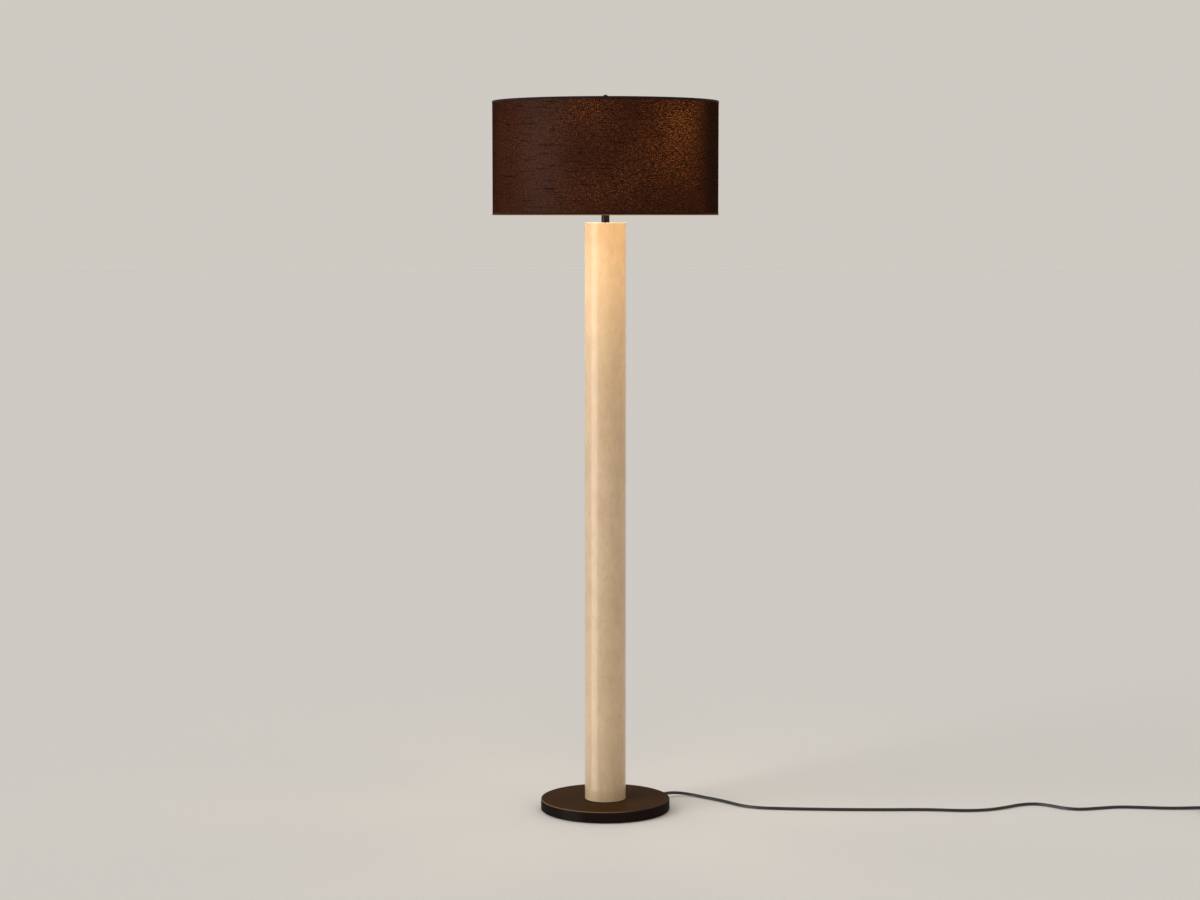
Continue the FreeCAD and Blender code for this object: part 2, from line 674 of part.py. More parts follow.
# Each ferrule goes round a lug and the leg beside it, and clears the lug's corners.
pair_half = (s.saddle_thickness + s.harp_room + s.harp_wire) / 2
pair_middle = lug_inner + pair_half
corner_reach = Size(
    math.hypot(pair_half.number, s.lug_width.number / 2),
    f"(sqrt({pair_half.formula} ^ 2 + ({s.lug_width.formula} / 2) ^ 2))",
)
ferrule_bore = corner_reach + s.ferrule_room
ferrule_low = bend_level + s.running_gap
ferrule_top = ferrule_low + s.ferrule_length
for name, side in (("ferrule_left", -1), ("ferrule_right", 1)):
    ferrule = turned_part(name, [
        (ferrule_bore, ferrule_low),
        (ferrule_bore + s.ferrule_wall, ferrule_low),
        (ferrule_bore + s.ferrule_wall, ferrule_top - s.ferrule_wall),
        (ferrule_bore + s.ferrule_wall / 2, ferrule_top),
        (ferrule_bore, ferrule_top),
    ])
    bind(ferrule, "Placement.Base.x", pair_middle * side)

# The stud is riveted in the eye, with a shoulder for the hub and a thread for the finial.
stud_tip = spider_top + s.stud_thread
head_top = eye_top - s.eye_height - s.running_gap
turned_part("harp_stud", [
    (0, head_top - s.stud_head),
    (s.stud_head_radius, head_top - s.stud_head),
    (s.stud_head_radius, head_top),
    (s.stud_pin_radius, head_top),
    (s.stud_pin_radius, shoulder_low),
    (s.stud_shoulder_radius, shoulder_low),
    (s.stud_shoulder_radius, spider_low),
    (s.stud_thread_radius, spider_low),
    (s.stud_thread_radius, stud_tip - s.stud_chamfer),
    (s.stud_thread_radius - s.stud_chamfer, stud_tip),
    (0, stud_tip),
])


# ---------------------------------------------------------------------------------------------
# Lampholder: bell-shaped cap, shell, insulating tube, moulded body with the switch, threaded
# shell and contact
# ---------------------------------------------------------------------------------------------
cap_radius = s.socket_radius + s.socket_fit + s.cap_wall
bell = cap_radius - s.cap_hub_radius
bell_top = hub_top + bell
turned_part("socket_cap", [
    (s.pipe_radius, locknut_top),
    (s.cap_hub_radius, locknut_top),
    (s.cap_hub_radius, hub_top),
    (cap_radius, bell_top, bell),
    (cap_radius, cap_top),
    (cap_radius - s.cap_wall, cap_top),
    (cap_radius - s.cap_wall, bell_top),
    (s.cap_hub_radius, hub_top + s.cap_wall, -(bell - s.cap_wall)),
    (s.pipe_radius, hub_top + s.cap_wall),
])

switch_level = shell_low + s.switch_height


def bore_for_shaft(body, room):
    """A round hole for the switch shaft, from the front into the piece."""
    hole = new_sketch(body, "XZ_Plane", s.socket_radius + s.cut_clear)
    draw_circle(hole, 0, switch_level, s.shaft_radius + room)
    pocket(body, hole, s.socket_radius + s.cut_clear - s.shaft_start + s.running_gap)


shell = tube_part("socket_shell", s.socket_radius - s.socket_wall, s.socket_radius, shell_low, shell_top)
bore_for_shaft(shell, s.running_gap * 2)

liner_radius = s.socket_radius - s.socket_wall - s.socket_fit
liner_bore = liner_radius - s.insulator_wall
liner_low = shell_low + s.socket_fit
liner = tube_part("socket_liner", liner_bore, liner_radius, liner_low, shell_top - s.socket_wall * 2)
bore_for_shaft(liner, s.running_gap * 2)

interior_radius = liner_bore - s.socket_fit * 2
interior = new_body("socket_interior")
flat_top = interior_top - s.interior_crown
revolve(interior, [
    (0, interior_low),
    (interior_radius, interior_low),
    (interior_radius, flat_top),
    (s.screw_shell_radius, flat_top),
    (s.screw_shell_radius, interior_top),
    (0, interior_top),
])
for side in (1, -1):
    flat = new_sketch(interior, "XZ_Plane")
    draw_outline(flat, [
        (s.interior_flat * side, interior_low - s.cut_clear),
        ((interior_radius + s.cut_clear) * side, interior_low - s.cut_clear),
        ((interior_radius + s.cut_clear) * side, flat_top),
        (s.interior_flat * side, flat_top),
    ])
    pocket(interior, flat, (interior_radius + s.cut_clear) * 2, both_ways=True)
bore_for_shaft(interior, s.running_gap)
screw_level = switch_level + s.screw_rise
for side in (1, -1):
    screw_hole = new_sketch(interior, "YZ_Plane", s.interior_flat * side)
    draw_circle(screw_hole, 0, screw_level, s.screw_shank_radius)
    drilled = pocket(interior, screw_hole, s.screw_shank)
    drilled.Reversed = side < 0

# The threads of the holder and of the bulb are rolled rings, here three swells each.
ROLLED_RINGS = 3
ring_step = s.screw_shell_height / (ROLLED_RINGS + 1)
shell_outside = s.screw_shell_radius + s.screw_shell_wall
shell_inner = []
shell_outer = []
for crest in range(1, ROLLED_RINGS + 1):
    level = interior_top + ring_step * crest
    shell_inner += [
        (s.screw_shell_radius, level - ring_step / 3),
        (shell_outside, level),
        (s.screw_shell_radius, level + ring_step / 3),
    ]
    shell_outer += [
        (shell_outside, level - ring_step / 3),
        (shell_outside + s.screw_shell_wall, level),
        (shell_outside, level + ring_step / 3),
    ]
shell_floor = interior_top + s.screw_shell_wall
turned_part("screw_shell", [
    (s.screw_shell_hole, interior_top),
    (shell_outside, interior_top),
    *shell_outer,
    (shell_outside, interior_top + s.screw_shell_height),
    (s.screw_shell_radius, interior_top + s.screw_shell_height),
    *reversed(shell_inner),
    (s.screw_shell_radius, shell_floor),
    (s.screw_shell_hole, shell_floor),
])

# The spring tongue is a strip bent to a ramp, which the bulb's tip presses.
tongue = new_body("centre_contact")
ramp = new_sketch(tongue, "XZ_Plane")
draw_outline(ramp, [
    (-s.tongue_foot, interior_top),
    (0, interior_top),
    (s.tongue_reach, bulb_tip_level - s.tongue_strip),
    (s.tongue_reach, bulb_tip_level),
    (-s.tongue_strip, interior_top + s.tongue_strip),
    (-s.tongue_foot, interior_top + s.tongue_strip),
])
pad(tongue, ramp, s.tongue_width, both_ways=True)

# The terminal screws lie along X: one is turned about its own axis, the other mirrors it.
terminals = new_body("terminal_screws")
half_screw = new_sketch(terminals, "XZ_Plane")
bind(half_screw, "AttachmentOffset.Base.y", screw_level)
draw_outline(half_screw, [
    (s.interior_flat - s.screw_shank, 0),
    (s.interior_flat + s.screw_head, 0),
    (s.interior_flat + s.screw_head, s.screw_head_radius),
    (s.interior_flat, s.screw_head_radius),
    (s.interior_flat, s.screw_shank_radius),
    (s.interior_flat - s.screw_shank, s.screw_shank_radius),
])
right_screw = terminals.newObject("PartDesign::Revolution", "right_screw")
right_screw.Profile = half_screw
right_screw.ReferenceAxis = (half_screw, ["H_Axis"])
right_screw.Angle = 360
both_screws = terminals.newObject("PartDesign::Mirrored", "both_screws")
both_screws.Originals = [right_screw]
both_screws.MirrorPlane = (origin_part(terminals, "YZ_Plane"), [""])
terminals.Tip = both_screws

# The shaft and the knob are turned about Z and laid down, so that they point to the front.
knob_low = s.socket_radius + s.knob_gap
knob_top = knob_low + s.knob_length
knob_bore = knob_low + s.knob_length / 2
shaft = turned_part("switch_shaft", [
    (0, s.shaft_start),
    (s.shaft_radius, s.shaft_start),
    (s.shaft_radius, knob_bore),
    (0, knob_bore),
])
knob = turned_part("switch_knob", [
    (s.shaft_radius, knob_low),
    (s.knob_radius - s.knob_edge, knob_low),
    (s.knob_radius, knob_low + s.knob_edge),
    (s.knob_radius, knob_top - s.knob_dome),
    (s.knob_radius - s.knob_dome, knob_top, s.knob_dome),
    (0, knob_top),
    (0, knob_bore),
    (s.shaft_radius, knob_bore),
])
flute = new_sketch(knob, "XY_Plane", knob_top + s.cut_clear)
draw_circle(flute, s.knob_radius + s.flute_radius / 2, 0, s.flute_radius)
one_flute = pocket(knob, flute, s.flute_length + s.cut_clear)
flutes = knob.newObject("PartDesign::PolarPattern", "flutes")
flutes.Originals = [one_flute]
flutes.Axis = (origin_part(knob, "Z_Axis"), [""])
flutes.Angle = 360
bind(flutes, "Occurrences", s.knob_flutes)
knob.Tip = flutes
for laid in (shaft, knob):
    laid.Placement = FreeCAD.Placement(Vector(), FreeCAD.Rotation(Vector(0, 0, 1), Vector(0, -1, 0)))
    bind(laid, "Placement.Base.z", switch_level)


# ---------------------------------------------------------------------------------------------
# Bulb: tip, screw cap with rolled threads, housing and globe
# ---------------------------------------------------------------------------------------------
bulb_cap_low = bulb_tip_level + s.bulb_tip_height
bulb_cap_top = bulb_tip_level + s.bulb_cap_length
housing_top = bulb_cap_top + s.housing_length
globe_middle = bulb_tip_level + s.bulb_length - s.bulb_radius
globe_shoulder = math.radians(35)
shoulder_radius = s.bulb_radius * math.cos(globe_shoulder)
shoulder_level = globe_middle - s.bulb_radius * math.sin(globe_shoulder)
turned_part("bulb_tip", [
    (0, bulb_tip_level),
    (s.bulb_tip_radius, bulb_tip_level + s.bulb_tip_dome),
    (s.bulb_foot_radius, bulb_cap_low),
    (0, bulb_cap_low),
])
thread_pitch = (bulb_cap_top - bulb_cap_low) / (ROLLED_RINGS + 2)
thread_root = s.bulb_cap_radius - s.bulb_thread_depth
threads = []
for crest in range(1, ROLLED_RINGS + 1):
    level = bulb_cap_low + thread_pitch * crest
    threads += [
        (thread_root, level - thread_pitch / 2),
        (s.bulb_cap_radius, level),
    ]
turned_part("bulb_cap", [
    (0, bulb_cap_low),
    (s.bulb_foot_radius, bulb_cap_low),
    *threads,
    (thread_root, level + thread_pitch / 2),
    (thread_root, bulb_cap_top),
    (0, bulb_cap_top),
])
turned_part("bulb_housing", [
    (0, bulb_cap_top),
    (s.bulb_cap_radius + s.housing_step, bulb_cap_top),
    (s.housing_radius, housing_top, -s.housing_flank),
    (0, housing_top),
])
turned_part("bulb_globe", [
    (0, housing_top),
    (s.housing_radius, housing_top),
    (shoulder_radius, shoulder_level, -s.globe_flank),
    (0, globe_middle + s.bulb_radius, s.bulb_radius),
])


# ---------------------------------------------------------------------------------------------
# Shade: spider with its top ring, bottom ring, cloth, lining, trims, and the finial on top
# ---------------------------------------------------------------------------------------------
cover_radius = s.shade_radius - s.trim_wall
lining_radius = cover_radius - s.cover_wall
lining_bore = lining_radius - s.liner_wall
ring_radius = lining_bore - s.ring_room - s.ring_wire / 2
cover_low = shade_low + s.trim_wall
cover_top = shade_top - s.trim_wall
top_ring_level = cover_top - s.ring_wire / 2
bottom_ring_level = cover_low + s.ring_wire / 2
hub_middle = spider_top - s.hub_thickness / 2


def ring_section(level):
    """Corners of a ring's section, which has eight sides: the rings are long and their wire thin."""
    step = 2 * math.pi / WIRE_SIDES
    angles = [step * (side + 0.5) for side in range(WIRE_SIDES)]
    half = s.ring_wire / 2
    return [(ring_radius + half * math.cos(angle), level + half * math.sin(angle)) for angle in angles]


spider = new_body("shade_spider")
revolve(spider, ring_section(top_ring_level))
hub = new_sketch(spider, "XY_Plane", spider_low)
draw_circle(hub, 0, 0, s.hub_radius)
draw_circle(hub, 0, 0, s.stud_thread_radius + s.running_gap)
pad(spider, hub, s.hub_thickness)
arm_start = s.stud_shoulder_radius + (s.hub_radius - s.stud_shoulder_radius) / 3
arm_path = new_sketch(spider, "XZ_Plane")
draw_bent_wire(arm_path, [
    (arm_start, hub_middle),
    (s.arm_level, hub_middle, s.arm_level / 2),
    (ring_radius, top_ring_level),
])
arm_section = new_sketch(spider, "YZ_Plane", arm_start)
draw_circle(arm_section, 0, hub_middle, s.arm_wire / 2)
arm = spider.newObject("PartDesign::AdditivePipe", "arm")
arm.Profile = arm_section
arm.Spine = (arm_path, [""])
arms = spider.newObject("PartDesign::PolarPattern", "arms")
arms.Originals = [arm]
arms.Axis = (origin_part(spider, "Z_Axis"), [""])
arms.Angle = 360
bind(arms, "Occurrences", s.arm_count)
spider.Tip = arms
spider.Placement = FreeCAD.Placement(Vector(), FreeCAD.Rotation(Vector(0, 0, 1), 90))

turned_part("bottom_ring", ring_section(bottom_ring_level))
tube_part("shade_cover", lining_radius, cover_radius, cover_low, cover_top)
tube_part("shade_liner", lining_bore, lining_radius, cover_low, cover_top)
for name, edge, wrap, side in (
    ("top_trim", cover_top, shade_top, -1),
    ("bottom_trim", cover_low, shade_low, 1),
):
    turned_part(name, [
        (lining_bore, edge),
        (cover_radius, edge),
        (cover_radius, edge + s.trim_height * side),
        (s.shade_radius, edge + s.trim_height * side),
        (s.shade_radius, wrap),
        (lining_bore, wrap),
    ])

finial_low = spider_top + s.running_gap
finial_top = finial_low + s.finial_height
finial_bore = s.stud_thread_radius + s.thread_room
finial_depth = stud_tip + s.finial_headroom
foot_top = finial_low + s.finial_foot
ball_middle = finial_top - s.finial_radius
ball_cut = Size(
    math.sqrt(s.finial_radius.number ** 2 - s.finial_waist.number ** 2),
    f"(sqrt({s.finial_radius.formula} ^ 2 - {s.finial_waist.formula} ^ 2))",
)
turned_part("finial", [
    (finial_bore, finial_low),
    (s.finial_radius, finial_low),
    (s.finial_radius, foot_top),
    (s.finial_waist, foot_top + s.finial_slope),
    (s.finial_waist, ball_middle - ball_cut),
    (0, finial_top, s.finial_radius),
    (0, finial_depth),
    (finial_bore, finial_depth),
])


# ---------------------------------------------------------------------------------------------
# Lead: the free stretch follows a route of hand-chosen points, as straight runs with arcs
# ---------------------------------------------------------------------------------------------
def arc_through(start, knee, end):
    """The arc that leaves start towards the knee and reaches end coming from it.  Both ends lie
    equally far from the knee, and the middle is where the arc crosses the line to the knee."""
    middle_of_chord = (start + end) * 0.5
    half_chord = (end - start).Length / 2
    to_knee = knee - middle_of_chord
    side = (knee - start).Length
    middle = middle_of_chord + to_knee * (half_chord * (side - half_chord) / to_knee.Length ** 2)
    return Part.Arc(start, middle, end)


def rounded_route(points):
    """Edges along a route, with an arc at each inner point, and the radii of those arcs.
    An arc takes 0.45 of the shorter run beside its point."""
    edges = []
    radii = []
    last = points[0]
    for before, knee, after in zip(points, points[1:], points[2:]):
        way_in = knee - before
        way_out = after - knee
        reach = 0.45 * min(way_in.Length, way_out.Length)
        radii.append(reach / math.tan(way_in.getAngle(way_out) / 2))
        start = knee - way_in.normalize() * reach
        end = knee + way_out.normalize() * reach
        edges.append(Part.LineSegment(last, start).toShape())
        edges.append(arc_through(start, knee, end).toShape())
        last = end
    edges.append(Part.LineSegment(last, points[-1]).toShape())
    return edges, radii


def sweep_cord(edges, radius, label):
    """A cord of eight sides along tangent edges, with its corners at the radius.  The first edge
    runs level.  The volume is set against the section times the length."""
    path = Part.Wire(edges)
    start = edges[0].Vertexes[0].Point
    across = Vector(0, 0, 1).cross(edges[0].tangentAt(edges[0].FirstParameter))
    step = 2 * math.pi / WIRE_SIDES
    corners = []
    for side in range(WIRE_SIDES + 1):
        angle = step * (side + 0.5)
        corners.append(start + across * (radius * math.cos(angle)) + Vector(0, 0, radius * math.sin(angle)))
    solid = path.makePipeShell([Part.makePolygon(corners)], True, False)
    expected = WIRE_SIDES / 2 * math.sin(step) * radius ** 2 * path.Length
    print(f"{label}: length {path.Length:.1f} mm, volume {solid.Volume / expected:.5f} of section x length")
    return solid, path


def shape_part(label, shape):
    """A sub-part whose shape is worked out here."""
    feature = doc.addObject("Part::Feature", label)
    feature.Label = label
    feature.Shape = shape
    sub_parts.append(feature)
    return feature


cord = cord_radius.number
exit_point = exit_way * relief_end.number + Vector(0, 0, s.exit_height.number)
pitch = s.cord_diameter + s.turn_gap
coil_level = s.tie_strap + s.tie_room + cord_radius
coil_start = Vector(s.coil_start.number, s.coil_side.number, coil_level.number)
first_run = 25
last_run = 47
floor_level = cord
route = [
    exit_point,
    exit_point + exit_way * first_run,
    Vector(173.6, 130.9, 6.9),
    Vector(196.5, 128.5, 4.1),
    Vector(215, 114.5, floor_level),
    Vector(232.5, 97, floor_level),
    Vector(258, 76, floor_level),
    Vector(284, 47, floor_level),
    Vector(313, 12.5, floor_level),
    Vector(352, -5.5, floor_level),
    Vector(400, -11.5, floor_level),
    Vector(462, -17, floor_level),
    Vector(542, -21.5, floor_level),
    Vector(636, -22.5, floor_level),
    Vector(728, -20.5, floor_level),
    Vector(805, -33, floor_level),
    Vector(858, -26, floor_level),
    Vector(900, -4, floor_level),
    Vector(939, 26, floor_level),
    Vector(975, 37.5, floor_level),
    Vector(1005, 22, floor_level),
    Vector(1034, -8, floor_level),
    Vector(1070, -21, floor_level),
    Vector(1115, -7, floor_level),
    Vector(1165, 6, floor_level),
    Vector(1222, -2, floor_level),
    Vector(1282, -9.5, floor_level),
    coil_start - Vector(last_run, 0, 0),
    coil_start,
]
cord_edges, bend_radii = rounded_route(route)
print("bend radii of the free lead:", ", ".join(f"{radius:.0f}" for radius in bend_radii))
cord_solid, cord_path = sweep_cord(cord_edges, cord, "power_cord")
shape_part("power_cord", cord_solid)

# The coil winds in on the floor layer, climbs in the half turn where it reverses, and winds out
# on top.  Its radius changes by one pitch a turn, and it turns clockwise seen from above.
layer_turns = s.layer_turns.number
outer_turn = s.coil_inner_radius + pitch * s.layer_turns
coil_centre = coil_start + Vector(s.cord_diameter.number, -outer_turn.number, 0)


def coil_radius(turn):
    """Distance from the coil's axis after so many turns."""
    return s.coil_inner_radius.number + pitch.number * abs(turn - layer_turns)


def coil_height(turn):
    """Level above the floor layer after so many turns: a half-wave rise within half a turn."""
    share = min(max((turn - layer_turns + 0.25) / 0.5, 0.0), 1.0)
    return pitch.number * (1 - math.cos(math.pi * share)) / 2


def coil_point(turn):
    """The cord's centre after so many turns, starting at the back of the coil."""
    angle = math.pi / 2 - 2 * math.pi * turn
    reach = coil_radius(turn)
    return coil_centre + Vector(reach * math.cos(angle), reach * math.sin(angle), coil_height(turn))


def coil_way(turn):
    """The cord's direction there, along the circle at both ends and where the spiral reverses."""
    if turn in (0.0, layer_turns, 2 * layer_turns):
        angle = -2 * math.pi * turn
        step = 2 * math.pi * coil_radius(turn)
        rise = (coil_height(turn + 1e-4) - coil_height(turn - 1e-4)) / 2e-4
        return Vector(step * math.cos(angle), step * math.sin(angle), rise).normalize()
    return (coil_point(turn + 1e-4) - coil_point(turn - 1e-4)).normalize()


def biarc(start, way, end, end_way):
    """Two arcs that join two points with given directions and meet with one direction."""
    chord = end - start
    both = way + end_way
    spread = 2 * (1 - way.dot(end_way))
    along = chord.dot(both)
    reach = (-along + math.sqrt(along ** 2 + spread * chord.dot(chord))) / spread
    knee = start + way * reach
    end_knee = end - end_way * reach
    joint = (knee + end_knee) * 0.5
    return [arc_through(start, knee, joint).toShape(), arc_through(joint, end_knee, end).toShape()]


quarters = round(8 * layer_turns)
stops = [quarter / 4 for quarter in range(quarters + 1)]
coil_edges = [Part.LineSegment(coil_start, coil_point(0.0)).toShape()]
for here, there in zip(stops, stops[1:]):
    coil_edges += biarc(coil_point(here), coil_way(here), coil_point(there), coil_way(there))
coil_end = coil_point(stops[-1]) + Vector(s.cord_diameter.number, 0, 0)
coil_edges.append(Part.LineSegment(coil_point(stops[-1]), coil_end).toShape())
coil_solid, coil_path = sweep_cord(coil_edges, cord, "cord_coil")
shape_part("cord_coil", coil_solid)
print(f"free lead and coil together: {cord_path.Length + coil_path.Length:.0f} mm")


def least_gap(path, diameter, step=3.0):
    """The least clear gap between stretches of a wound cord that are over a half turn apart."""
    points = path.discretize(Distance=step)
    apart = round(math.pi * s.coil_inner_radius.number / step)
    closest = min(
        (points[i] - points[j]).Length
        for i in range(len(points))
        for j in range(i + apart, len(points))
    )
    return closest - diameter


print(f"cord_coil: least gap to itself {least_gap(coil_path, s.cord_diameter.number):.2f} mm")

# A strap round all the turns, on the side away from the lamp
tie = new_body("cord_tie")
tie_section = new_sketch(tie, "XZ_Plane")
tie_low = s.tie_strap
tie_high = coil_level + pitch + cord_radius + s.tie_room
tie_near = s.coil_inner_radius + pitch * 0.25 - cord_radius - s.tie_room * 3
tie_far = s.coil_inner_radius + pitch * (s.layer_turns - 0.25) + cord_radius + s.tie_room
tie_corner = cord_radius


def rounded_box(sketch, near, far, low, high, corner):
    """A rectangle with rounded corners."""
    draw_outline(sketch, [
        (near + corner, low, corner),
        (far - corner, low),
        (far, low + corner, corner),
        (far, high - corner),
        (far - corner, high, corner),
        (near + corner, high),
        (near, high - corner, corner),
        (near, low + corner),
    ])


strap = s.tie_strap
rounded_box(tie_section, tie_near, tie_far, tie_low, tie_high, tie_corner)
rounded_box(tie_section, tie_near - strap, tie_far + strap, tie_low - strap, tie_high + strap, tie_corner + strap)
pad(tie, tie_section, s.tie_width, both_ways=True)
bind(tie, "Placement.Base.x", s.coil_start + s.cord_diameter)
bind(tie, "Placement.Base.y", s.coil_side - outer_turn)

# The plug is drawn about Z, from the lead's end to the blades, and laid down along +X.  It lies
# on its narrow side, so that the lead runs straight into it from the coil's upper layer.
plug_front = s.boot_length + s.plug_length
BOOT_GROOVES = 5
groove_step = s.boot_length / (BOOT_GROOVES + 1)
boot_grooves = []
for groove in range(1, BOOT_GROOVES + 1):
    reach = cord_radius + (s.boot_root_radius - cord_radius) * (groove / (BOOT_GROOVES + 1))
    level = groove_step * groove
    boot_grooves += [
        (reach, level - groove_step / 4),
        (reach - s.boot_groove, level - groove_step / 4),
        (reach - s.boot_groove, level + groove_step / 4),
        (reach, level + groove_step / 4),
    ]
plug = new_body("plug_body")
revolve(plug, [
    (0, 0),
    (cord_radius, 0),
    *boot_grooves,
    (s.boot_root_radius, s.boot_length),
    (0, s.boot_length),
])
block = new_sketch(plug, "XY_Plane", s.boot_length)
half_width = coil_level + pitch
half_thickness = s.plug_thickness / 2
rounded_box(block, -half_width, half_width, -half_thickness, half_thickness, s.plug_corner)
block_pad = pad(plug, block, s.plug_length)


def on_block_end(edge):
    """Whether an edge goes round the front or the back of the plug's block."""
    box = edge.BoundBox
    flat = box.ZLength < 1e-4
    at_end = min(abs(box.ZMin - s.boot_length.number), abs(box.ZMin - plug_front.number)) < 1e-4
    round_boot = isinstance(edge.Curve, Part.Circle) and edge.Curve.Center.Length - box.ZMin < 1e-4
    return flat and at_end and not round_boot


round_edges(plug, block_pad, on_block_end, s.plug_edge)
blades = new_body("plug_blades")
blade_section = new_sketch(blades, "XY_Plane", plug_front)
for side in (1, -1):
    middle = s.blade_spacing / 2 * side
    half = s.blade_thickness / 2
    draw_outline(blade_section, [
        (middle - half, -(s.blade_width / 2)),
        (middle + half, -(s.blade_width / 2)),
        (middle + half, s.blade_width / 2),
        (middle - half, s.blade_width / 2),
    ])
pad(blades, blade_section, s.blade_length)
blade_holes = new_sketch(blades, "YZ_Plane")
draw_circle(blade_holes, 0, plug_front + s.blade_length * 0.72, s.blade_width * 0.25)
pocket(blades, blade_holes, s.blade_spacing * 2, both_ways=True)
for laid in (plug, blades):
    laid.Placement = FreeCAD.Placement(Vector(), FreeCAD.Rotation(Vector(0, 0, 1), Vector(1, 0, 0)))
    bind(laid, "Placement.Base.x", s.coil_start + s.cord_diameter * 2)
    bind(laid, "Placement.Base.y", s.coil_side)
    bind(laid, "Placement.Base.z", coil_level + pitch)

# Two insulated wires go from the lead in the pocket, up through the pipe and to the terminals.
across = Vector(-exit_way.y, exit_way.x, 0)
wire_radius = s.wire_diameter.number / 2
wire_spread = s.wire_offset.number
terminal_reach = s.interior_flat.number + wire_radius + 0.6
wire_top = screw_level.number - s.screw_head_radius.number - 0.2
below_pipe = pipe_low.number - 5.5
wires = []
for side in (1, -1):
    start = exit_way * lead_start.number + across * (wire_spread * side)
    wire_route = [
        start + Vector(0, 0, s.exit_height.number),
        start - exit_way * 3 + Vector(0, 0, s.exit_height.number),
        exit_way * 8 + across * (wire_spread * side) + Vector(0, 0, below_pipe + 1),
        across * (wire_spread * side) + Vector(0, 0, below_pipe),
        Vector(-wire_spread * side, 0, pipe_top.number + 1.5),
        Vector(-terminal_reach * side, 0, interior_low.number - 1.8),
        Vector(-terminal_reach * side, 0, wire_top),
    ]
    wire_edges, _ = rounded_route(wire_route)
    wires.append(sweep_cord(wire_edges, wire_radius, "core wire")[0])
shape_part("core_wires", Part.Compound(wires))


# ---------------------------------------------------------------------------------------------
# Check and export
# ---------------------------------------------------------------------------------------------
doc.recompute()
for thing in doc.Objects:
    if "Invalid" in thing.State or "Error" in thing.State:
        raise RuntimeError(f"{thing.Label} failed: {thing.State}")
os.makedirs(PARTS_FOLDER, exist_ok=True)
for part in sub_parts:
    shape = part.Shape
    if shape.isNull() or not shape.isValid():
        raise RuntimeError(f"{part.Label} has no valid shape")
    box = shape.BoundBox
    sizes = f"x {box.XMin:.1f} to {box.XMax:.1f}, z {box.ZMin:.1f} to {box.ZMax:.1f}"
    print(f"{part.Label}: {len(shape.Solids)} solid(s), {shape.Volume:.0f} mm3, {sizes}")
    shape.exportStep(f"{PARTS_FOLDER}/{part.Label}.step")
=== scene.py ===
"""Column floor lamp, finished for rendering.

Lengths are millimetres until a mesh is made, apart from those of the camera, the lead and the
studio, which are metres.
"""
import math

import bmesh
import bpy
import numpy as np
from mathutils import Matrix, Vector


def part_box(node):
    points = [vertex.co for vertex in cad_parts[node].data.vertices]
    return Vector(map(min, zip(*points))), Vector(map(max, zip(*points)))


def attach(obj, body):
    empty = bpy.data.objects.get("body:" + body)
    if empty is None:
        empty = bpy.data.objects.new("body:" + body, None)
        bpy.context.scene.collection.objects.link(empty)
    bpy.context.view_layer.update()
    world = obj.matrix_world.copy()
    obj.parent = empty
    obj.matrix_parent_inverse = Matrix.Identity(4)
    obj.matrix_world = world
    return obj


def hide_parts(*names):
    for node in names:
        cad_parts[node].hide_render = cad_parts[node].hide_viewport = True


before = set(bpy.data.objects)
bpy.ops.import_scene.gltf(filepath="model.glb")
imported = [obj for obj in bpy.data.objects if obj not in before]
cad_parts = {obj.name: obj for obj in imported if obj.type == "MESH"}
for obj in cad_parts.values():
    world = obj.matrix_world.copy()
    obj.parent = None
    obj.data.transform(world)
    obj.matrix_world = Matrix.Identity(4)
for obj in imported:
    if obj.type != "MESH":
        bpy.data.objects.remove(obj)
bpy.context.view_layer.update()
scene = bpy.context.scene
scene.view_settings.view_transform = "Standard"
MM = 0.001


# ---------------------------------------------------------------------------------------------
# Camera: it stands in front of the lamp, level with the shade's lower edge, and looks slightly
# down, so that the base shows its top and the shade's lower edge is seen as a straight line.
# ---------------------------------------------------------------------------------------------
focal_length = 76.68
view_point = (-0.012, -5.68, 1.3293)
view_tilt = 84.82
camera_lens = bpy.data.cameras.new("camera")
camera_lens.sensor_width = 36
camera_lens.lens = focal_length
camera = bpy.data.objects.new("camera", camera_lens)
camera.location = view_point
camera.rotation_euler = (math.radians(view_tilt), 0, 0)
scene.collection.objects.link(camera)
scene.camera = camera


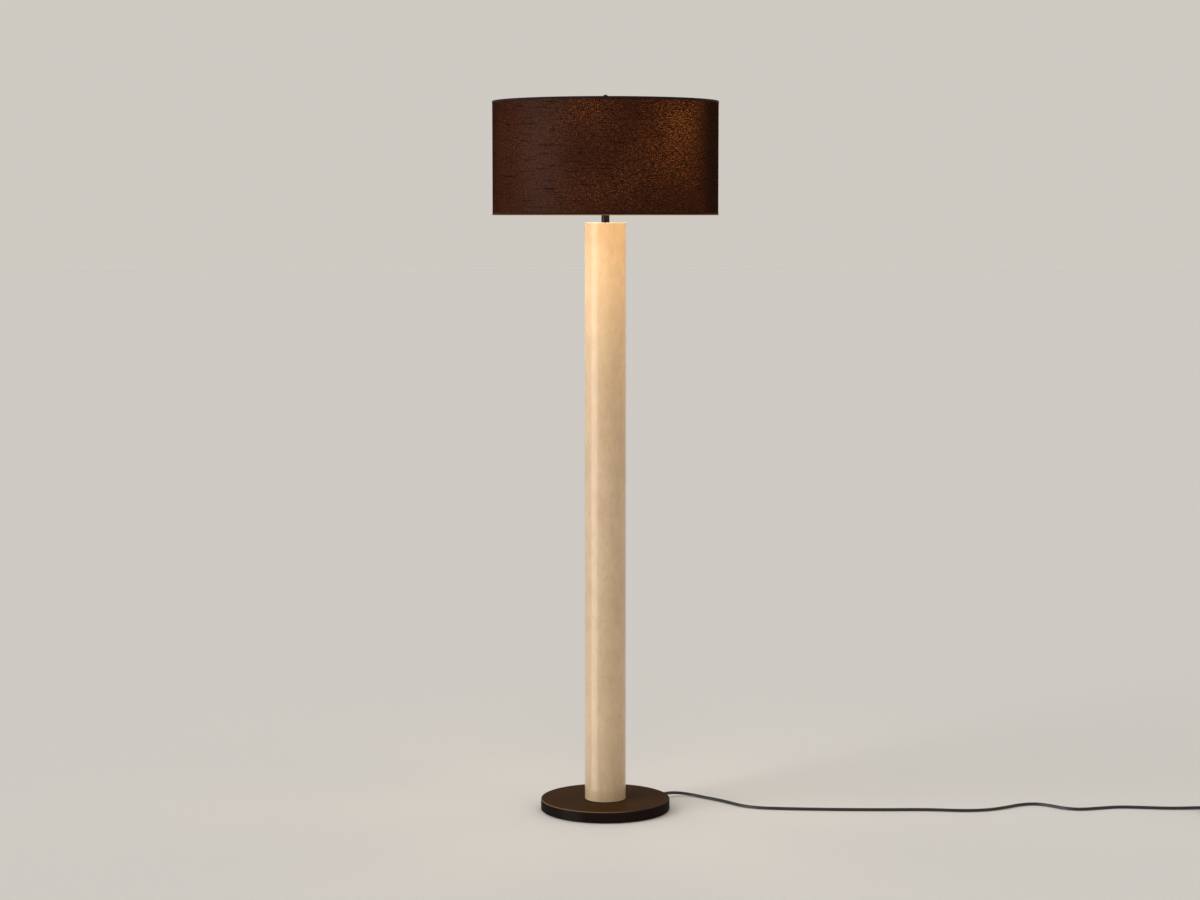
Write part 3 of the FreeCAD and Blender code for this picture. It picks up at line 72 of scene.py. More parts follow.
# ---------------------------------------------------------------------------------------------
# Base: a heavy cast-iron disc with a turned edge, painted satin black-brown, on a thin foam pad.
# A washer and a nut in its pocket pull the whole lamp down on it through the lamp pipe.
# ---------------------------------------------------------------------------------------------
def outline(corners, closed=False, steps=6):
    """A profile through (radius, height, rounding) corners.

    A rounding r cuts its corner with the arc of radius r that touches both sides: with unit
    vectors a and b from the arc's centre to its ends, w apart, a point at share t is
    centre + r (sin((1 - t) w) a + sin(t w) b) / sin w. One more point before and after the arc
    keeps the flats beside it flat.
    """
    corners = np.array(corners, float)
    count = len(corners)
    points = []
    for index, (radius, height, rounding) in enumerate(corners):
        here = np.array([radius, height])
        if rounding == 0 or (not closed and index in (0, count - 1)):
            points.append(here[None])
            continue
        before = corners[index - 1][:2] - here
        after = corners[(index + 1) % count][:2] - here
        reach_before, reach_after = np.linalg.norm(before), np.linalg.norm(after)
        before, after = before / reach_before, after / reach_after
        half = math.acos(np.clip(before @ after, -1, 1)) / 2
        cut = rounding / math.tan(half)
        inward = (before + after) / np.linalg.norm(before + after)
        centre = here + inward * rounding / math.sin(half)
        first, last = here + before * cut, here + after * cut
        swing = math.pi - 2 * half
        share = np.linspace(0, 1, steps + 1)[:, None]
        arc = centre + (
            np.sin((1 - share) * swing) * (first - centre) + np.sin(share * swing) * (last - centre)
        ) / math.sin(swing)
        lead = min(rounding, (reach_before - cut) / 3)
        tail = min(rounding, (reach_after - cut) / 3)
        points += [(first + before * lead)[None], arc, (last + after * tail)[None]]
    return np.concatenate(points)


def turned(profile, count, start=0.0):
    """A grid of points: point (i, j) is profile point i turned by start + j / count of a circle."""
    angle = start + np.linspace(0, 2 * math.pi, count, endpoint=False)
    radius, height = profile[:, :1], profile[:, 1:]
    return np.stack(
        [radius * np.cos(angle), radius * np.sin(angle), height + 0 * angle], axis=-1
    )


def skin(name, grids, body, stands_for=(), closed=False, crease=40):
    """A piece made of grids of points in mm, each closed along its second index.

    Quad (i, j) joins points i and i + 1 of columns j and j + 1. Rows close too where closed is
    set, and a row whose points coincide becomes a pole. The "cloth" map holds millimetres:
    along the widest row, and along the first column.
    """
    if isinstance(grids, np.ndarray):
        grids = [grids]
    points, faces, maps, start = [], [], [], 0
    for grid in grids:
        rows, columns = grid.shape[:2]
        looped = np.concatenate([grid, grid[:, :1]], axis=1)
        girth = np.linalg.norm(np.diff(looped, axis=1), axis=2).sum(axis=1).max()
        ladder = np.concatenate([grid, grid[:1]]) if closed else grid
        climb = np.linalg.norm(np.diff(ladder[:, 0], axis=0), axis=1)
        along = np.concatenate([[0], np.cumsum(climb)])
        row, column = np.meshgrid(np.arange(rows - (not closed)), np.arange(columns), indexing="ij")
        row, column = row.ravel(), column.ravel()
        above, beside = (row + 1) % rows, (column + 1) % columns
        corners = [(row, column), (row, beside), (above, beside), (above, column)]
        faces.append(start + np.stack([i * columns + j for i, j in corners], axis=1))
        across = np.stack([column, column + 1, column + 1, column], axis=1) * girth / columns
        upward = along[np.stack([row, row, row + 1, row + 1], axis=1)]
        maps.append(np.stack([across, upward], axis=-1))
        points.append(grid.reshape(-1, 3))
        start += rows * columns
    points, faces, maps = np.concatenate(points), np.concatenate(faces), np.concatenate(maps)

    mesh = bpy.data.meshes.new(name)
    mesh.vertices.add(len(points))
    mesh.vertices.foreach_set("co", (points * MM).ravel())
    mesh.loops.add(faces.size)
    mesh.loops.foreach_set("vertex_index", faces.ravel())
    mesh.polygons.add(len(faces))
    mesh.polygons.foreach_set("loop_start", np.arange(0, faces.size, 4))
    mesh.update(calc_edges=True)
    mesh.uv_layers.new(name="cloth").data.foreach_set("uv", maps.ravel())
    pole_size = 0.0005
    welded = bmesh.new()
    welded.from_mesh(mesh)
    bmesh.ops.remove_doubles(welded, verts=welded.verts, dist=pole_size * MM)
    welded.to_mesh(mesh)
    welded.free()
    mesh.validate()
    mesh.shade_smooth()
    mesh.set_sharp_from_angle(angle=math.radians(crease))

    thing = bpy.data.objects.new(name, mesh)
    scene.collection.objects.link(thing)
    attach(thing, body)
    if stands_for:
        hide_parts(*stands_for)
    return thing


class Field:
    """A value that varies over a surface. Arithmetic on it adds Math nodes."""

    def __init__(self, nodes, socket):
        self.nodes = nodes
        self.socket = socket

    def math(self, operation, first, second=0.0):
        return self.nodes.node("ShaderNodeMath", {"operation": operation}, {0: first, 1: second})

    def __add__(self, other):
        return self.math("ADD", self, other)

    def __sub__(self, other):
        return self.math("SUBTRACT", self, other)

    def __rsub__(self, other):
        return self.math("SUBTRACT", other, self)

    def __mul__(self, other):
        return self.math("MULTIPLY", self, other)

    def __truediv__(self, other):
        return self.math("DIVIDE", self, other)

    __radd__ = __add__
    __rmul__ = __mul__


class Nodes:
    """The nodes of a material or of the world."""

    def __init__(self, owner):
        owner.use_nodes = True
        self.nodes = owner.node_tree.nodes
        self.links = owner.node_tree.links

    def node(self, kind, settings, inputs, output=0):
        """One node: its settings first, then the values or links of its sockets."""
        node = self.nodes.new(kind)
        stops = settings.pop("stops", None)
        for key, value in settings.items():
            setattr(node, key, value)
        if stops:
            ramp = node.color_ramp.elements
            while len(ramp) < len(stops):
                ramp.new(1)
            for stop, (position, colour) in zip(ramp, stops):
                stop.position = position
                stop.color = (*colour, 1)
        for key, value in inputs.items():
            if isinstance(value, Field):
                self.links.new(value.socket, node.inputs[key])
            else:
                node.inputs[key].default_value = value
        return Field(self, node.outputs[output])

    def mix(self, share, colour, other, blend="MIX"):
        """share of the other colour in the first one."""
        def full(tint):
            return tint if isinstance(tint, Field) else (*tint, 1)
        inputs = {0: share, 6: full(colour), 7: full(other)}
        return self.node("ShaderNodeMix", {"data_type": "RGBA", "blend_type": blend}, inputs, 2)

    def ramp(self, value, low, high, start=0.0, end=1.0):
        """start below low, end above high, and a smooth change between them."""
        settings = {"interpolation_type": "SMOOTHSTEP"}
        inputs = {"Value": value, "From Min": low, "From Max": high, "To Min": start, "To Max": end}
        return self.node("ShaderNodeMapRange", settings, inputs)

    def hill(self, distance):
        """exp(-distance squared): 1 at no distance, and near 0 past two."""
        return distance.math("EXPONENT", -1 * distance * distance)


class Finish(Nodes):
    """A surface finish: one material around one shader, whose fixed values come as keywords."""

    def __init__(self, name, **fixed):
        self.material = bpy.data.materials.new(name)
        super().__init__(self.material)
        self.shader = self.nodes["Principled BSDF"]
        self.set(**fixed)
        self.place = self.node("ShaderNodeTexCoord", {}, {}, "Object")

    def set(self, **values):
        """Shader sockets by name, with _ for a space: a number, a colour of three, or a Field."""
        for name, value in values.items():
            socket = self.shader.inputs[name.replace("_", " ")]
            if isinstance(value, Field):
                self.links.new(value.socket, socket)
            elif isinstance(value, tuple):
                socket.default_value = (*value, 1) if len(socket.default_value) == 4 else value
            else:
                socket.default_value = value

    def along(self, axis):
        """One Object coordinate in metres: 0 is to the right, 1 to the back and 2 up."""
        return self.node("ShaderNodeSeparateXYZ", {}, {0: self.place}, axis)

    def above(self, level, blur, low=0.0, high=1.0):
        """low up to a height of level mm, high from blur mm above it, smooth between."""
        return self.ramp(self.along(2), level * MM, (level + blur) * MM, low, high)

    def stretch(self, across, along, up, place=None):
        """The place in metres, times a factor each way: larger factors make finer patterns."""
        inputs = {"Vector": place or self.place, "Scale": (across, along, up)}
        return self.node("ShaderNodeMapping", {}, inputs)

    def noise(self, scale, detail=3.0, place=None, roughness=0.5):
        """Cloudy noise round 0.5."""
        inputs = {"Vector": place or self.place, "Scale": scale, "Detail": detail,
                  "Roughness": roughness}
        return self.node("ShaderNodeTexNoise", {}, inputs)

    def bump(self, height, depth, strength=1.0):
        """Relief of that height field, depth mm deep."""
        inputs = {"Height": height, "Distance": depth * MM, "Strength": strength}
        self.set(Normal=self.node("ShaderNodeBump", {}, inputs))

    def on(self, *things):
        """Give the finish to pieces made here or to nodes named."""
        for thing in things:
            if isinstance(thing, str):
                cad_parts[thing].material_slots[0].material = self.material
            else:
                thing.data.materials.clear()
                thing.data.materials.append(self.material)


def extent(node):
    """The lowest and highest corner of a node, in mm."""
    low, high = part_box(node)
    return np.array(low) / MM, np.array(high) / MM


BIG_ROUND = 256
SMALL_ROUND = 96
plate_low, plate_high = extent("base_plate")
plate_radius = plate_high[0]
plate_edge_round = 1.6
pocket_radius = 22
pocket_top = extent("base_washer")[1][2]
pipe_hole = 5.25
base_disc = skin("base_disc", turned(outline([
    (pipe_hole, pocket_top, 0),
    (pipe_hole, plate_high[2], 0.2),
    (plate_radius, plate_high[2], plate_edge_round),
    (plate_radius, plate_low[2], plate_edge_round / 2),
    (pocket_radius, plate_low[2], 0.4),
    (pocket_radius, pocket_top, 0),
], closed=True)[::-1], BIG_ROUND), "root", ["base_plate"], closed=True)

# The top is painted browner and lighter than the rim, as painted light falling on it, and the edge
# at the front left carries a painted highlight.
rim_dark, rim_light = (0.0085, 0.0062, 0.0050), (0.0165, 0.0115, 0.0088)
top_dark, top_light = (0.041, 0.0185, 0.0062), (0.070, 0.0330, 0.0115)
painted_edge_highlight = (0.20, 0.105, 0.048)
paint = Finish("satin_black_brown", Specular_IOR_Level=0.0, Coat_Roughness=0.22)
mottle = paint.noise(9, 4)
grain = paint.noise(900, 2)
orange_peel = paint.noise(260, 2)
scuffs = paint.ramp(paint.noise(30, 6, paint.stretch(1, 6, 1), 0.7), 0.62, 0.78)
on_top = paint.above(plate_high[2] - 1.2, 1.0)
to_right, to_back = paint.along(0), paint.along(1)
from_axis = to_right.math("SQRT", to_right * to_right + to_back * to_back)
on_edge = paint.above(plate_high[2] - 2.0, 0.8) * paint.ramp(
    from_axis, (plate_radius - 2.0) * MM, (plate_radius - 1.4) * MM
)
# Painted highlight: this mask places a lighter warm line along the front-left edge.
facing_left = paint.ramp(to_right + to_back, -0.16, -0.02, 1.0, 0.0)
rim_coat = paint.mix(mottle, rim_dark, rim_light)
# Painted light: the top's colour is lighter and browner than the rim's.
painted_light_top = paint.mix(mottle, top_dark, top_light)
rim_and_painted_top = paint.mix(on_top, rim_coat, painted_light_top)
paint.set(
    Base_Color=paint.mix(on_edge * facing_left, rim_and_painted_top, painted_edge_highlight),
    Roughness=0.40 + 0.10 * mottle + 0.08 * scuffs + 0.05 * grain,
    Coat_Weight=0.06 + 0.10 * on_edge,
)
paint.bump(orange_peel + 0.5 * grain, 0.03)
paint.on(base_disc)

pad_low, pad_high = extent("base_pad")
pad_radius = pad_high[0]
pad_round = 0.5
cells_a_metre = 1400.0
floor_pad = skin("floor_pad", turned(outline([
    (0, pad_low[2], 0),
    (pad_radius, pad_low[2], pad_round),
    (pad_radius, pad_high[2], pad_round),
    (0, pad_high[2], 0),
]), BIG_ROUND), "root", ["base_pad"])
foam = Finish("closed_cell_foam", Roughness=0.9)
cells = foam.node("ShaderNodeTexVoronoi", {}, {"Vector": foam.place, "Scale": cells_a_metre})
foam.set(Base_Color=foam.mix(cells, (0.02, 0.02, 0.02), (0.05, 0.05, 0.048)))
foam.bump(cells, 0.15)
foam.on(floor_pad)

zinc = Finish("zinc_plate", Metallic=1.0)
spangle = zinc.noise(320, 3)
turning = zinc.noise(160, 2, zinc.stretch(1, 1, 14))
zinc.set(
    Base_Color=zinc.mix(spangle, (0.46, 0.46, 0.43), (0.68, 0.67, 0.62)),
    Roughness=0.25 + 0.2 * spangle,
)
zinc.bump(turning, 0.02)
zinc.on("base_washer", "base_nut", "lamp_pipe", "socket_locknut", "harp_stud")


# ---------------------------------------------------------------------------------------------
# Lead: a round black mains lead, smooth vinyl. It leaves the plate's rim through a tapered rubber
# gland, lies across the floor to the right, and ends in a moulded plug. The length that isn't
# seen is wound up and strapped.
# ---------------------------------------------------------------------------------------------
lead_diameter = 0.007
lead_exit = Vector((0.13056, 0.10573, 0.010))
exit_bearing = math.radians(39)
exit_way = Vector((math.cos(exit_bearing), math.sin(exit_bearing), 0))
on_floor = lead_diameter / 2
coil_level = 0.0046
free_route = [
    lead_exit,
    lead_exit + exit_way * 0.025,
    (0.1736, 0.1309, 0.0069),
    (0.1965, 0.1285, 0.0041),
    (0.215, 0.1145, on_floor),
    (0.2325, 0.097, on_floor),
    (0.258, 0.076, on_floor),
    (0.284, 0.047, on_floor),
    (0.313, 0.0125, on_floor),
    (0.352, -0.0055, on_floor),
    (0.400, -0.0115, on_floor),
    (0.462, -0.017, on_floor),
    (0.542, -0.0215, on_floor),
    (0.636, -0.0225, on_floor),
    (0.728, -0.0205, on_floor),
    (0.805, -0.033, on_floor),
    (0.858, -0.026, on_floor),
    (0.900, -0.004, on_floor),
    (0.939, 0.026, on_floor),
    (0.975, 0.0375, on_floor),
    (1.005, 0.022, on_floor),
    (1.034, -0.008, on_floor),
    (1.070, -0.021, on_floor),
    (1.115, -0.007, on_floor),
    (1.165, 0.006, on_floor),
    (1.222, -0.002, on_floor),
    (1.282, -0.0095, on_floor),
    (1.336, -0.007, coil_level),
    (1.383, -0.007, coil_level),
]

# The coil winds in by one pitch a turn for two and a half turns, climbs one pitch within half a
# turn, and winds out again.
coil_centre = np.array([1.390, -0.054])
coil_pitch = 0.0076
coil_inner = 0.028
layer_turns = 2.5
climb_turns = 0.5
points_a_turn = 16
half_step = 0.5 / points_a_turn
turn = np.arange(half_step, 2 * layer_turns, 1 / points_a_turn)
reach = (coil_inner + coil_pitch * abs(turn - layer_turns)) / math.cos(math.pi / points_a_turn)
climb_share = np.clip((turn - layer_turns) / climb_turns + 0.5, 0, 1)
bearing = math.pi / 2 - 2 * math.pi * turn
coil_route = np.stack([
    coil_centre[0] + reach * np.cos(bearing),
    coil_centre[1] + reach * np.sin(bearing),
    coil_level + coil_pitch * (1 - np.cos(math.pi * climb_share)) / 2,
], axis=1)
plug_tail = (1.397, -0.007, coil_level + coil_pitch)

lead_points = [Vector(point) for point in [*free_route, *coil_route, plug_tail]]


def spline_path(points, resolution=8):
    """The points of a quadratic NURBS spline that has these control points, in metres."""
    guide_curve = bpy.data.curves.new("guide", "CURVE")
    guide_curve.dimensions = "3D"
    spline = guide_curve.splines.new("NURBS")
    spline.points.add(len(points) - 1)
    for point, place in zip(spline.points, points):
        point.co = (*place, 1)
    spline.order_u = 3
    spline.use_endpoint_u = True
    spline.resolution_u = resolution
    guide = bpy.data.objects.new("guide", guide_curve)
    line = bpy.data.meshes.new_from_object(guide)
    path = np.empty(len(line.vertices) * 3)
    line.vertices.foreach_get("co", path)
    bpy.data.objects.remove(guide)
    bpy.data.curves.remove(guide_curve)
    bpy.data.meshes.remove(line)
    return path.reshape(-1, 3)


def round_tube(path, diameter, sides):
    """A round tube along a path that is never upright, with a pole at each end.

    Point (i, j) is path point i + r (cos a side + sin a rise), at a = 2 pi j / sides, where side
    is level and square to the path, and rise is square to both.
    """
    ahead = np.gradient(path, axis=0)
    ahead /= np.linalg.norm(ahead, axis=1)[:, None]
    side = np.cross([0, 0, 1], ahead)
    side /= np.linalg.norm(side, axis=1)[:, None]
    rise = np.cross(ahead, side)
    swing = np.linspace(0, 2 * math.pi, sides, endpoint=False)[None, :, None]
    offset = np.cos(swing) * side[:, None] + np.sin(swing) * rise[:, None]
    grid = path[:, None] + offset * diameter / 2
    poles = np.repeat(path[[0, -1], None], sides, axis=1)
    return np.concatenate([poles[:1], grid, poles[1:]])


lead_path = spline_path(lead_points)
mains_lead = skin(
    "mains_lead", round_tube(lead_path, lead_diameter, 16) / MM, "root",
    ["power_cord", "cord_coil"], crease=60,
)

vinyl = Finish("black_vinyl", Coat_Weight=0.15, Coat_Roughness=0.3)
dust = vinyl.noise(45, 4)
drawn = vinyl.noise(700, 2)
vinyl.set(
    Base_Color=vinyl.mix(dust, (0.010, 0.009, 0.009), (0.021, 0.0195, 0.0185)),
    Roughness=0.34 + 0.22 * dust,
)
vinyl.bump(drawn, 0.02)
vinyl.on(mains_lead, "lead_in", "strain_relief", "plug_body")

sleeve = Finish("wire_sleeves", Roughness=0.45)
sleeve.set(Base_Color=sleeve.mix(sleeve.noise(80), (0.45, 0.45, 0.43), (0.62, 0.62, 0.6)))
sleeve.on("core_wires")

contact = Finish("bare_contact_brass", Metallic=1.0)
tarnish = contact.noise(150, 4)
contact.set(
    Base_Color=contact.mix(tarnish, (0.52, 0.36, 0.14), (0.76, 0.6, 0.32)),
    Roughness=0.22 + 0.25 * tarnish,
)
contact.bump(contact.noise(900, 2), 0.01)
contact.on("plug_blades", "screw_shell", "centre_contact", "terminal_screws")

tie_low, tie_high = extent("cord_tie")
tie_thickness = 0.8
tie_edge_round = 0.25
tie_corner = 0.55
tie_across = tie_high[0] - tie_low[0]
tie_up = tie_high[2] - tie_low[2]
tie_width = tie_high[1] - tie_low[1]


def strap_band(steps=24):
    """A strap round a flat bundle, as a grid.

    Rows go round its thin section, columns round the bundle: a rounded rectangle in X and Z,
    offset by the section's height above the bundle, and carried along Y by its width.
    """
    across, up = tie_across / 2, tie_up / 2
    corner = up * tie_corner
    loop = outline([
        (-across, -up, corner), (across, -up, corner), (across, up, corner), (-across, up, corner),
    ], closed=True, steps=steps)
    ahead = np.roll(loop, -1, axis=0) - np.roll(loop, 1, axis=0)
    ahead /= np.linalg.norm(ahead, axis=1)[:, None]
    outward = np.stack([ahead[:, 1], -ahead[:, 0]], axis=1)
    section = outline([
        (-tie_thickness, -tie_width / 2, tie_edge_round), (0, -tie_width / 2, tie_edge_round),
        (0, tie_width / 2, tie_edge_round), (-tie_thickness, tie_width / 2, tie_edge_round),
    ], closed=True, steps=3)
    depth, side = section[:, :1], section[:, 1:]
    middle = (tie_low + tie_high) / 2
    return np.stack([
        middle[0] + loop[:, 0] + depth * outward[:, 0],
        middle[1] + side + 0 * loop[:, 0],
        middle[2] + loop[:, 1] + depth * outward[:, 1],
    ], axis=-1)


lead_tie = skin("lead_tie", strap_band(), "root", ["cord_tie"], closed=True)
webbing = Finish("woven_strap", Roughness=0.75)
ribs = webbing.node(
    "ShaderNodeTexWave", {"bands_direction": "Y"},
    {"Vector": webbing.place, "Scale": 420.0, "Distortion": 1.5, "Detail": 2.0},
)
webbing.set(Base_Color=webbing.mix(ribs, (0.01, 0.01, 0.01), (0.035, 0.034, 0.033)))
webbing.bump(ribs, 0.15)
webbing.on(lead_tie)


# ---------------------------------------------------------------------------------------------
# Column: a thin metal tube wrapped in a lacquered parchment-like skin, whose butt seam is at the
# back. Its fibres run up and down, and cloudy patches show through the lacquer. A turned disc,
# painted cream, closes the top.
# ---------------------------------------------------------------------------------------------
sleeve_low, sleeve_high = extent("column_sleeve")
column_radius = sleeve_high[0]
skin_wall = 1.0
turn_in = 5.0
foot_fold, top_fold = 1.2, 1.5
column_rows = 180
swell = 0.023
seam_bearing = math.pi / 2
seam_depth = 0.25
seam_reach = 0.7


def column_skin():
    """The wrapped skin: a turned wall whose radius swells and dips a little with the place.

    The dips are three long sine waves of the bearing and the height, each up to swell mm. A
    groove runs up the back, where the skin's two edges meet: seam_depth exp(-(x / seam_reach)^2)
    at x mm from its middle.
    """
    bore = column_radius - skin_wall
    rise = np.linspace(sleeve_low[2] + foot_fold, sleeve_high[2] - top_fold, column_rows)
    side = np.stack([np.full_like(rise, column_radius), rise], axis=1)
    top = outline([
        (column_radius, sleeve_high[2] - top_fold, 0),
        (column_radius, sleeve_high[2], 0.5),
        (bore, sleeve_high[2], 0.35),
        (bore, sleeve_high[2] - turn_in, 0),
    ], steps=4)
    foot = outline([
        (bore, sleeve_low[2] + turn_in, 0),
        (bore, sleeve_low[2], 0.3),
        (column_radius, sleeve_low[2], 0.3),
        (column_radius, sleeve_low[2] + foot_fold, 0),
    ], steps=4)
    grid = turned(np.concatenate([foot, side[1:-1], top]), BIG_ROUND)
    bearing = np.arctan2(grid[..., 1], grid[..., 0])
    height = grid[..., 2]
    waves = (
        np.sin(3 * bearing + height / 71) + np.sin(5 * bearing - height / 43 + 1)
        + np.sin(2 * bearing + height / 127 + 2)
    ) * swell
    from_seam = np.angle(np.exp(1j * (bearing - seam_bearing))) * column_radius
    dent = waves - seam_depth * np.exp(-((from_seam / seam_reach) ** 2))
    wall = np.hypot(grid[..., 0], grid[..., 1])
    outside = wall > column_radius - skin_wall / 5
    grid[..., :2] *= ((wall + dent * outside) / wall)[..., None]
    return grid


column = skin(
    "column_skin", column_skin(), "root", ["column_sleeve"], closed=True
)
fawn, straw = (0.635, 0.436, 0.254), (0.735, 0.524, 0.325)
pale_fibre = (0.82, 0.64, 0.42)
tan_smudge = (0.50, 0.335, 0.185)
brown_fleck = (0.50, 0.34, 0.20)
# The cream of the painted highlight at both ends of the column.
end_highlight_cream = (0.86, 0.74, 0.56)
parchment = Finish("lacquered_parchment", Coat_Weight=0.9, Coat_Roughness=0.10)
clouds = parchment.noise(16, 5, parchment.stretch(1, 1, 0.55), 0.6)
patches = parchment.noise(42, 4, parchment.stretch(1, 1, 0.7), 0.65)
fibres = parchment.noise(420, 4, parchment.stretch(1, 1, 0.045), 0.6)
fine_fibres = parchment.noise(1500, 2, parchment.stretch(1, 1, 0.03), 0.5)
flecks = parchment.ramp(parchment.noise(240, 3, parchment.stretch(1, 1, 0.3), 0.7), 0.66, 0.74)
cloudy = parchment.ramp(0.6 * clouds + 0.4 * patches, 0.36, 0.64)
threads = parchment.ramp(0.6 * fibres + 0.4 * fine_fibres, 0.35, 0.68)
smudges = parchment.ramp(parchment.noise(95, 4, parchment.stretch(1, 1, 0.8), 0.7), 0.53, 0.70)
# Painted highlight: paler bands at the foot and along the top edge, where light catches the rounded
# ends.
painted_end_highlight = parchment.above(sleeve_low[2] + 0.8, 1.2, 1.0, 0.0) + parchment.above(
    sleeve_high[2] - 2.4, 1.4
)
hide = parchment.mix(cloudy, fawn, straw)
hide = parchment.mix(threads * 0.22, hide, pale_fibre)
hide = parchment.mix(smudges * 0.30, hide, tan_smudge)
hide = parchment.mix(flecks * 0.35, hide, brown_fleck)
hide = parchment.mix(painted_end_highlight * 0.8, hide, end_highlight_cream)
parchment.set(Base_Color=hide, Roughness=0.42 + 0.16 * fibres)
parchment.bump(0.55 * fibres + 0.3 * fine_fibres + 0.5 * patches, 0.12)
parchment.on(column)

cap_low, cap_high = extent("top_cap")
cap_radius = cap_high[0]
lid_sink = 0.3
lid_top = cap_high[2] - lid_sink
column_lid = skin("column_lid", turned(outline([
    (pipe_hole, cap_low[2], 0),
    (cap_radius, cap_low[2], 0.5),
    (cap_radius, lid_top, 0.6),
    (pipe_hole, lid_top, 0),
], closed=True), BIG_ROUND), "root", ["top_cap"], closed=True)
cream = Finish("cream_paint", Coat_Weight=0.2, Coat_Roughness=0.3)
powder = cream.noise(60, 4)
cream.set(
    Base_Color=cream.mix(powder, (0.56, 0.42, 0.27), (0.68, 0.53, 0.36)),
    Roughness=0.4 + 0.15 * powder,
)
cream.bump(cream.noise(500, 2), 0.02)
cream.on(column_lid)

tube_metal = Finish("drawn_tube", Metallic=1.0)
drawing = tube_metal.noise(300, 3, tube_metal.stretch(1, 1, 0.02))
tube_metal.set(
    Base_Color=tube_metal.mix(drawing, (0.45, 0.45, 0.45), (0.65, 0.65, 0.65)),
    Roughness=0.3 + 0.2 * drawing,
)
tube_metal.on("foot_disc", "column_core")


# ---------------------------------------------------------------------------------------------
# Neck: a turned spacer, lacquered gloss black, between the column's lid and the harp's saddle.
# ---------------------------------------------------------------------------------------------
neck_low, neck_high = extent("neck")
neck_radius = neck_high[0]
neck_edge_round = 0.7
neck = skin("neck_spacer", turned(outline([
    (pipe_hole, neck_low[2], 0),
    (neck_radius, neck_low[2], neck_edge_round),
    (neck_radius, neck_high[2], neck_edge_round),
    (pipe_hole, neck_high[2], 0),
], closed=True), SMALL_ROUND), "root", ["neck"], closed=True)
lacquer = Finish(
    "gloss_black_lacquer", Specular_IOR_Level=0.0, Coat_Weight=0.45, Coat_Roughness=0.07
)
smudge = lacquer.noise(120, 4)
lacquer.set(
    Base_Color=lacquer.mix(smudge, (0.006, 0.005, 0.0045), (0.012, 0.009, 0.008)),
    Roughness=0.16 + 0.14 * smudge,
)
lacquer.bump(lacquer.noise(400, 2), 0.008)
lacquer.on(neck)


# ---------------------------------------------------------------------------------------------
# Harp: a saddle of bent steel strip under the lampholder and a wire bow that plugs into it. Two
# ferrules slide down over the joints and lock them. All of it is plated.
# ---------------------------------------------------------------------------------------------
plated = Finish("antique_plate", Metallic=1.0)
haze = plated.noise(110, 4)
draw_lines = plated.noise(600, 2, plated.stretch(1, 1, 0.05))
plated.set(
    Base_Color=plated.mix(haze, (0.36, 0.32, 0.26), (0.56, 0.51, 0.43)),
    Roughness=0.24 + 0.2 * haze,
)
plated.bump(draw_lines, 0.01)
plated.on("harp_saddle", "harp_loop", "ferrule_left", "ferrule_right")


# ---------------------------------------------------------------------------------------------
# Lampholder: a spun brass cap and shell over a pressed-board liner, with a moulded body that
# carries the screw shell and the turn switch. A fluted knob sticks out to the front.
# ---------------------------------------------------------------------------------------------
brass = Finish("satin_brass", Metallic=1.0)
spin_lines = brass.noise(260, 2, brass.stretch(1, 1, 18))
stain = brass.noise(70, 4)
brass.set(
    Base_Color=brass.mix(stain, (0.42, 0.29, 0.11), (0.60, 0.45, 0.21)),
    Roughness=0.28 + 0.12 * stain + 0.1 * spin_lines,
)
brass.bump(spin_lines, 0.012)
brass.on("socket_cap", "socket_shell")

board = Finish("pressed_board", Roughness=0.85)
pulp = board.noise(300, 4)
board.set(Base_Color=board.mix(pulp, (0.42, 0.31, 0.19), (0.62, 0.5, 0.35)))
board.bump(pulp, 0.1)
board.on("socket_liner")

moulding = Finish("black_moulding")
swirl = moulding.noise(90, 4)
moulding.set(
    Base_Color=moulding.mix(swirl, (0.014, 0.013, 0.012), (0.032, 0.029, 0.027)),
    Roughness=0.32 + 0.2 * swirl,
)
moulding.bump(moulding.noise(700, 2), 0.02)
moulding.on("socket_interior", "switch_shaft", "switch_knob", "bulb_tip")


# ---------------------------------------------------------------------------------------------
# Bulb: an opal globe that glows evenly, on a white moulded housing and a rolled screw cap.
# ---------------------------------------------------------------------------------------------
amber_light, warm_light = (1.0, 0.62, 0.30), (1.0, 0.66, 0.35)
opal = Finish("opal_glow", Roughness=0.35, Emission_Strength=2.6)
shine = opal.noise(25, 2)
opal.set(
    Base_Color=opal.mix(shine, (0.86, 0.82, 0.72), (0.92, 0.88, 0.8)),
    Emission_Color=opal.mix(shine, amber_light, warm_light),
)
opal.on("bulb_globe")

white_moulding = Finish("white_moulding")
flow = white_moulding.noise(80, 3)
white_moulding.set(
    Base_Color=white_moulding.mix(flow, (0.74, 0.72, 0.68), (0.82, 0.8, 0.76)),
    Roughness=0.3 + 0.15 * flow,
)
white_moulding.bump(white_moulding.noise(600, 2), 0.02)
white_moulding.on("bulb_housing")

rolled = Finish("rolled_cap", Metallic=1.0)
rub = rolled.noise(200, 3)
rolled.set(
    Base_Color=rolled.mix(rub, (0.55, 0.55, 0.54), (0.75, 0.75, 0.74)),
    Roughness=0.2 + 0.2 * rub,
)
rolled.on("bulb_cap")


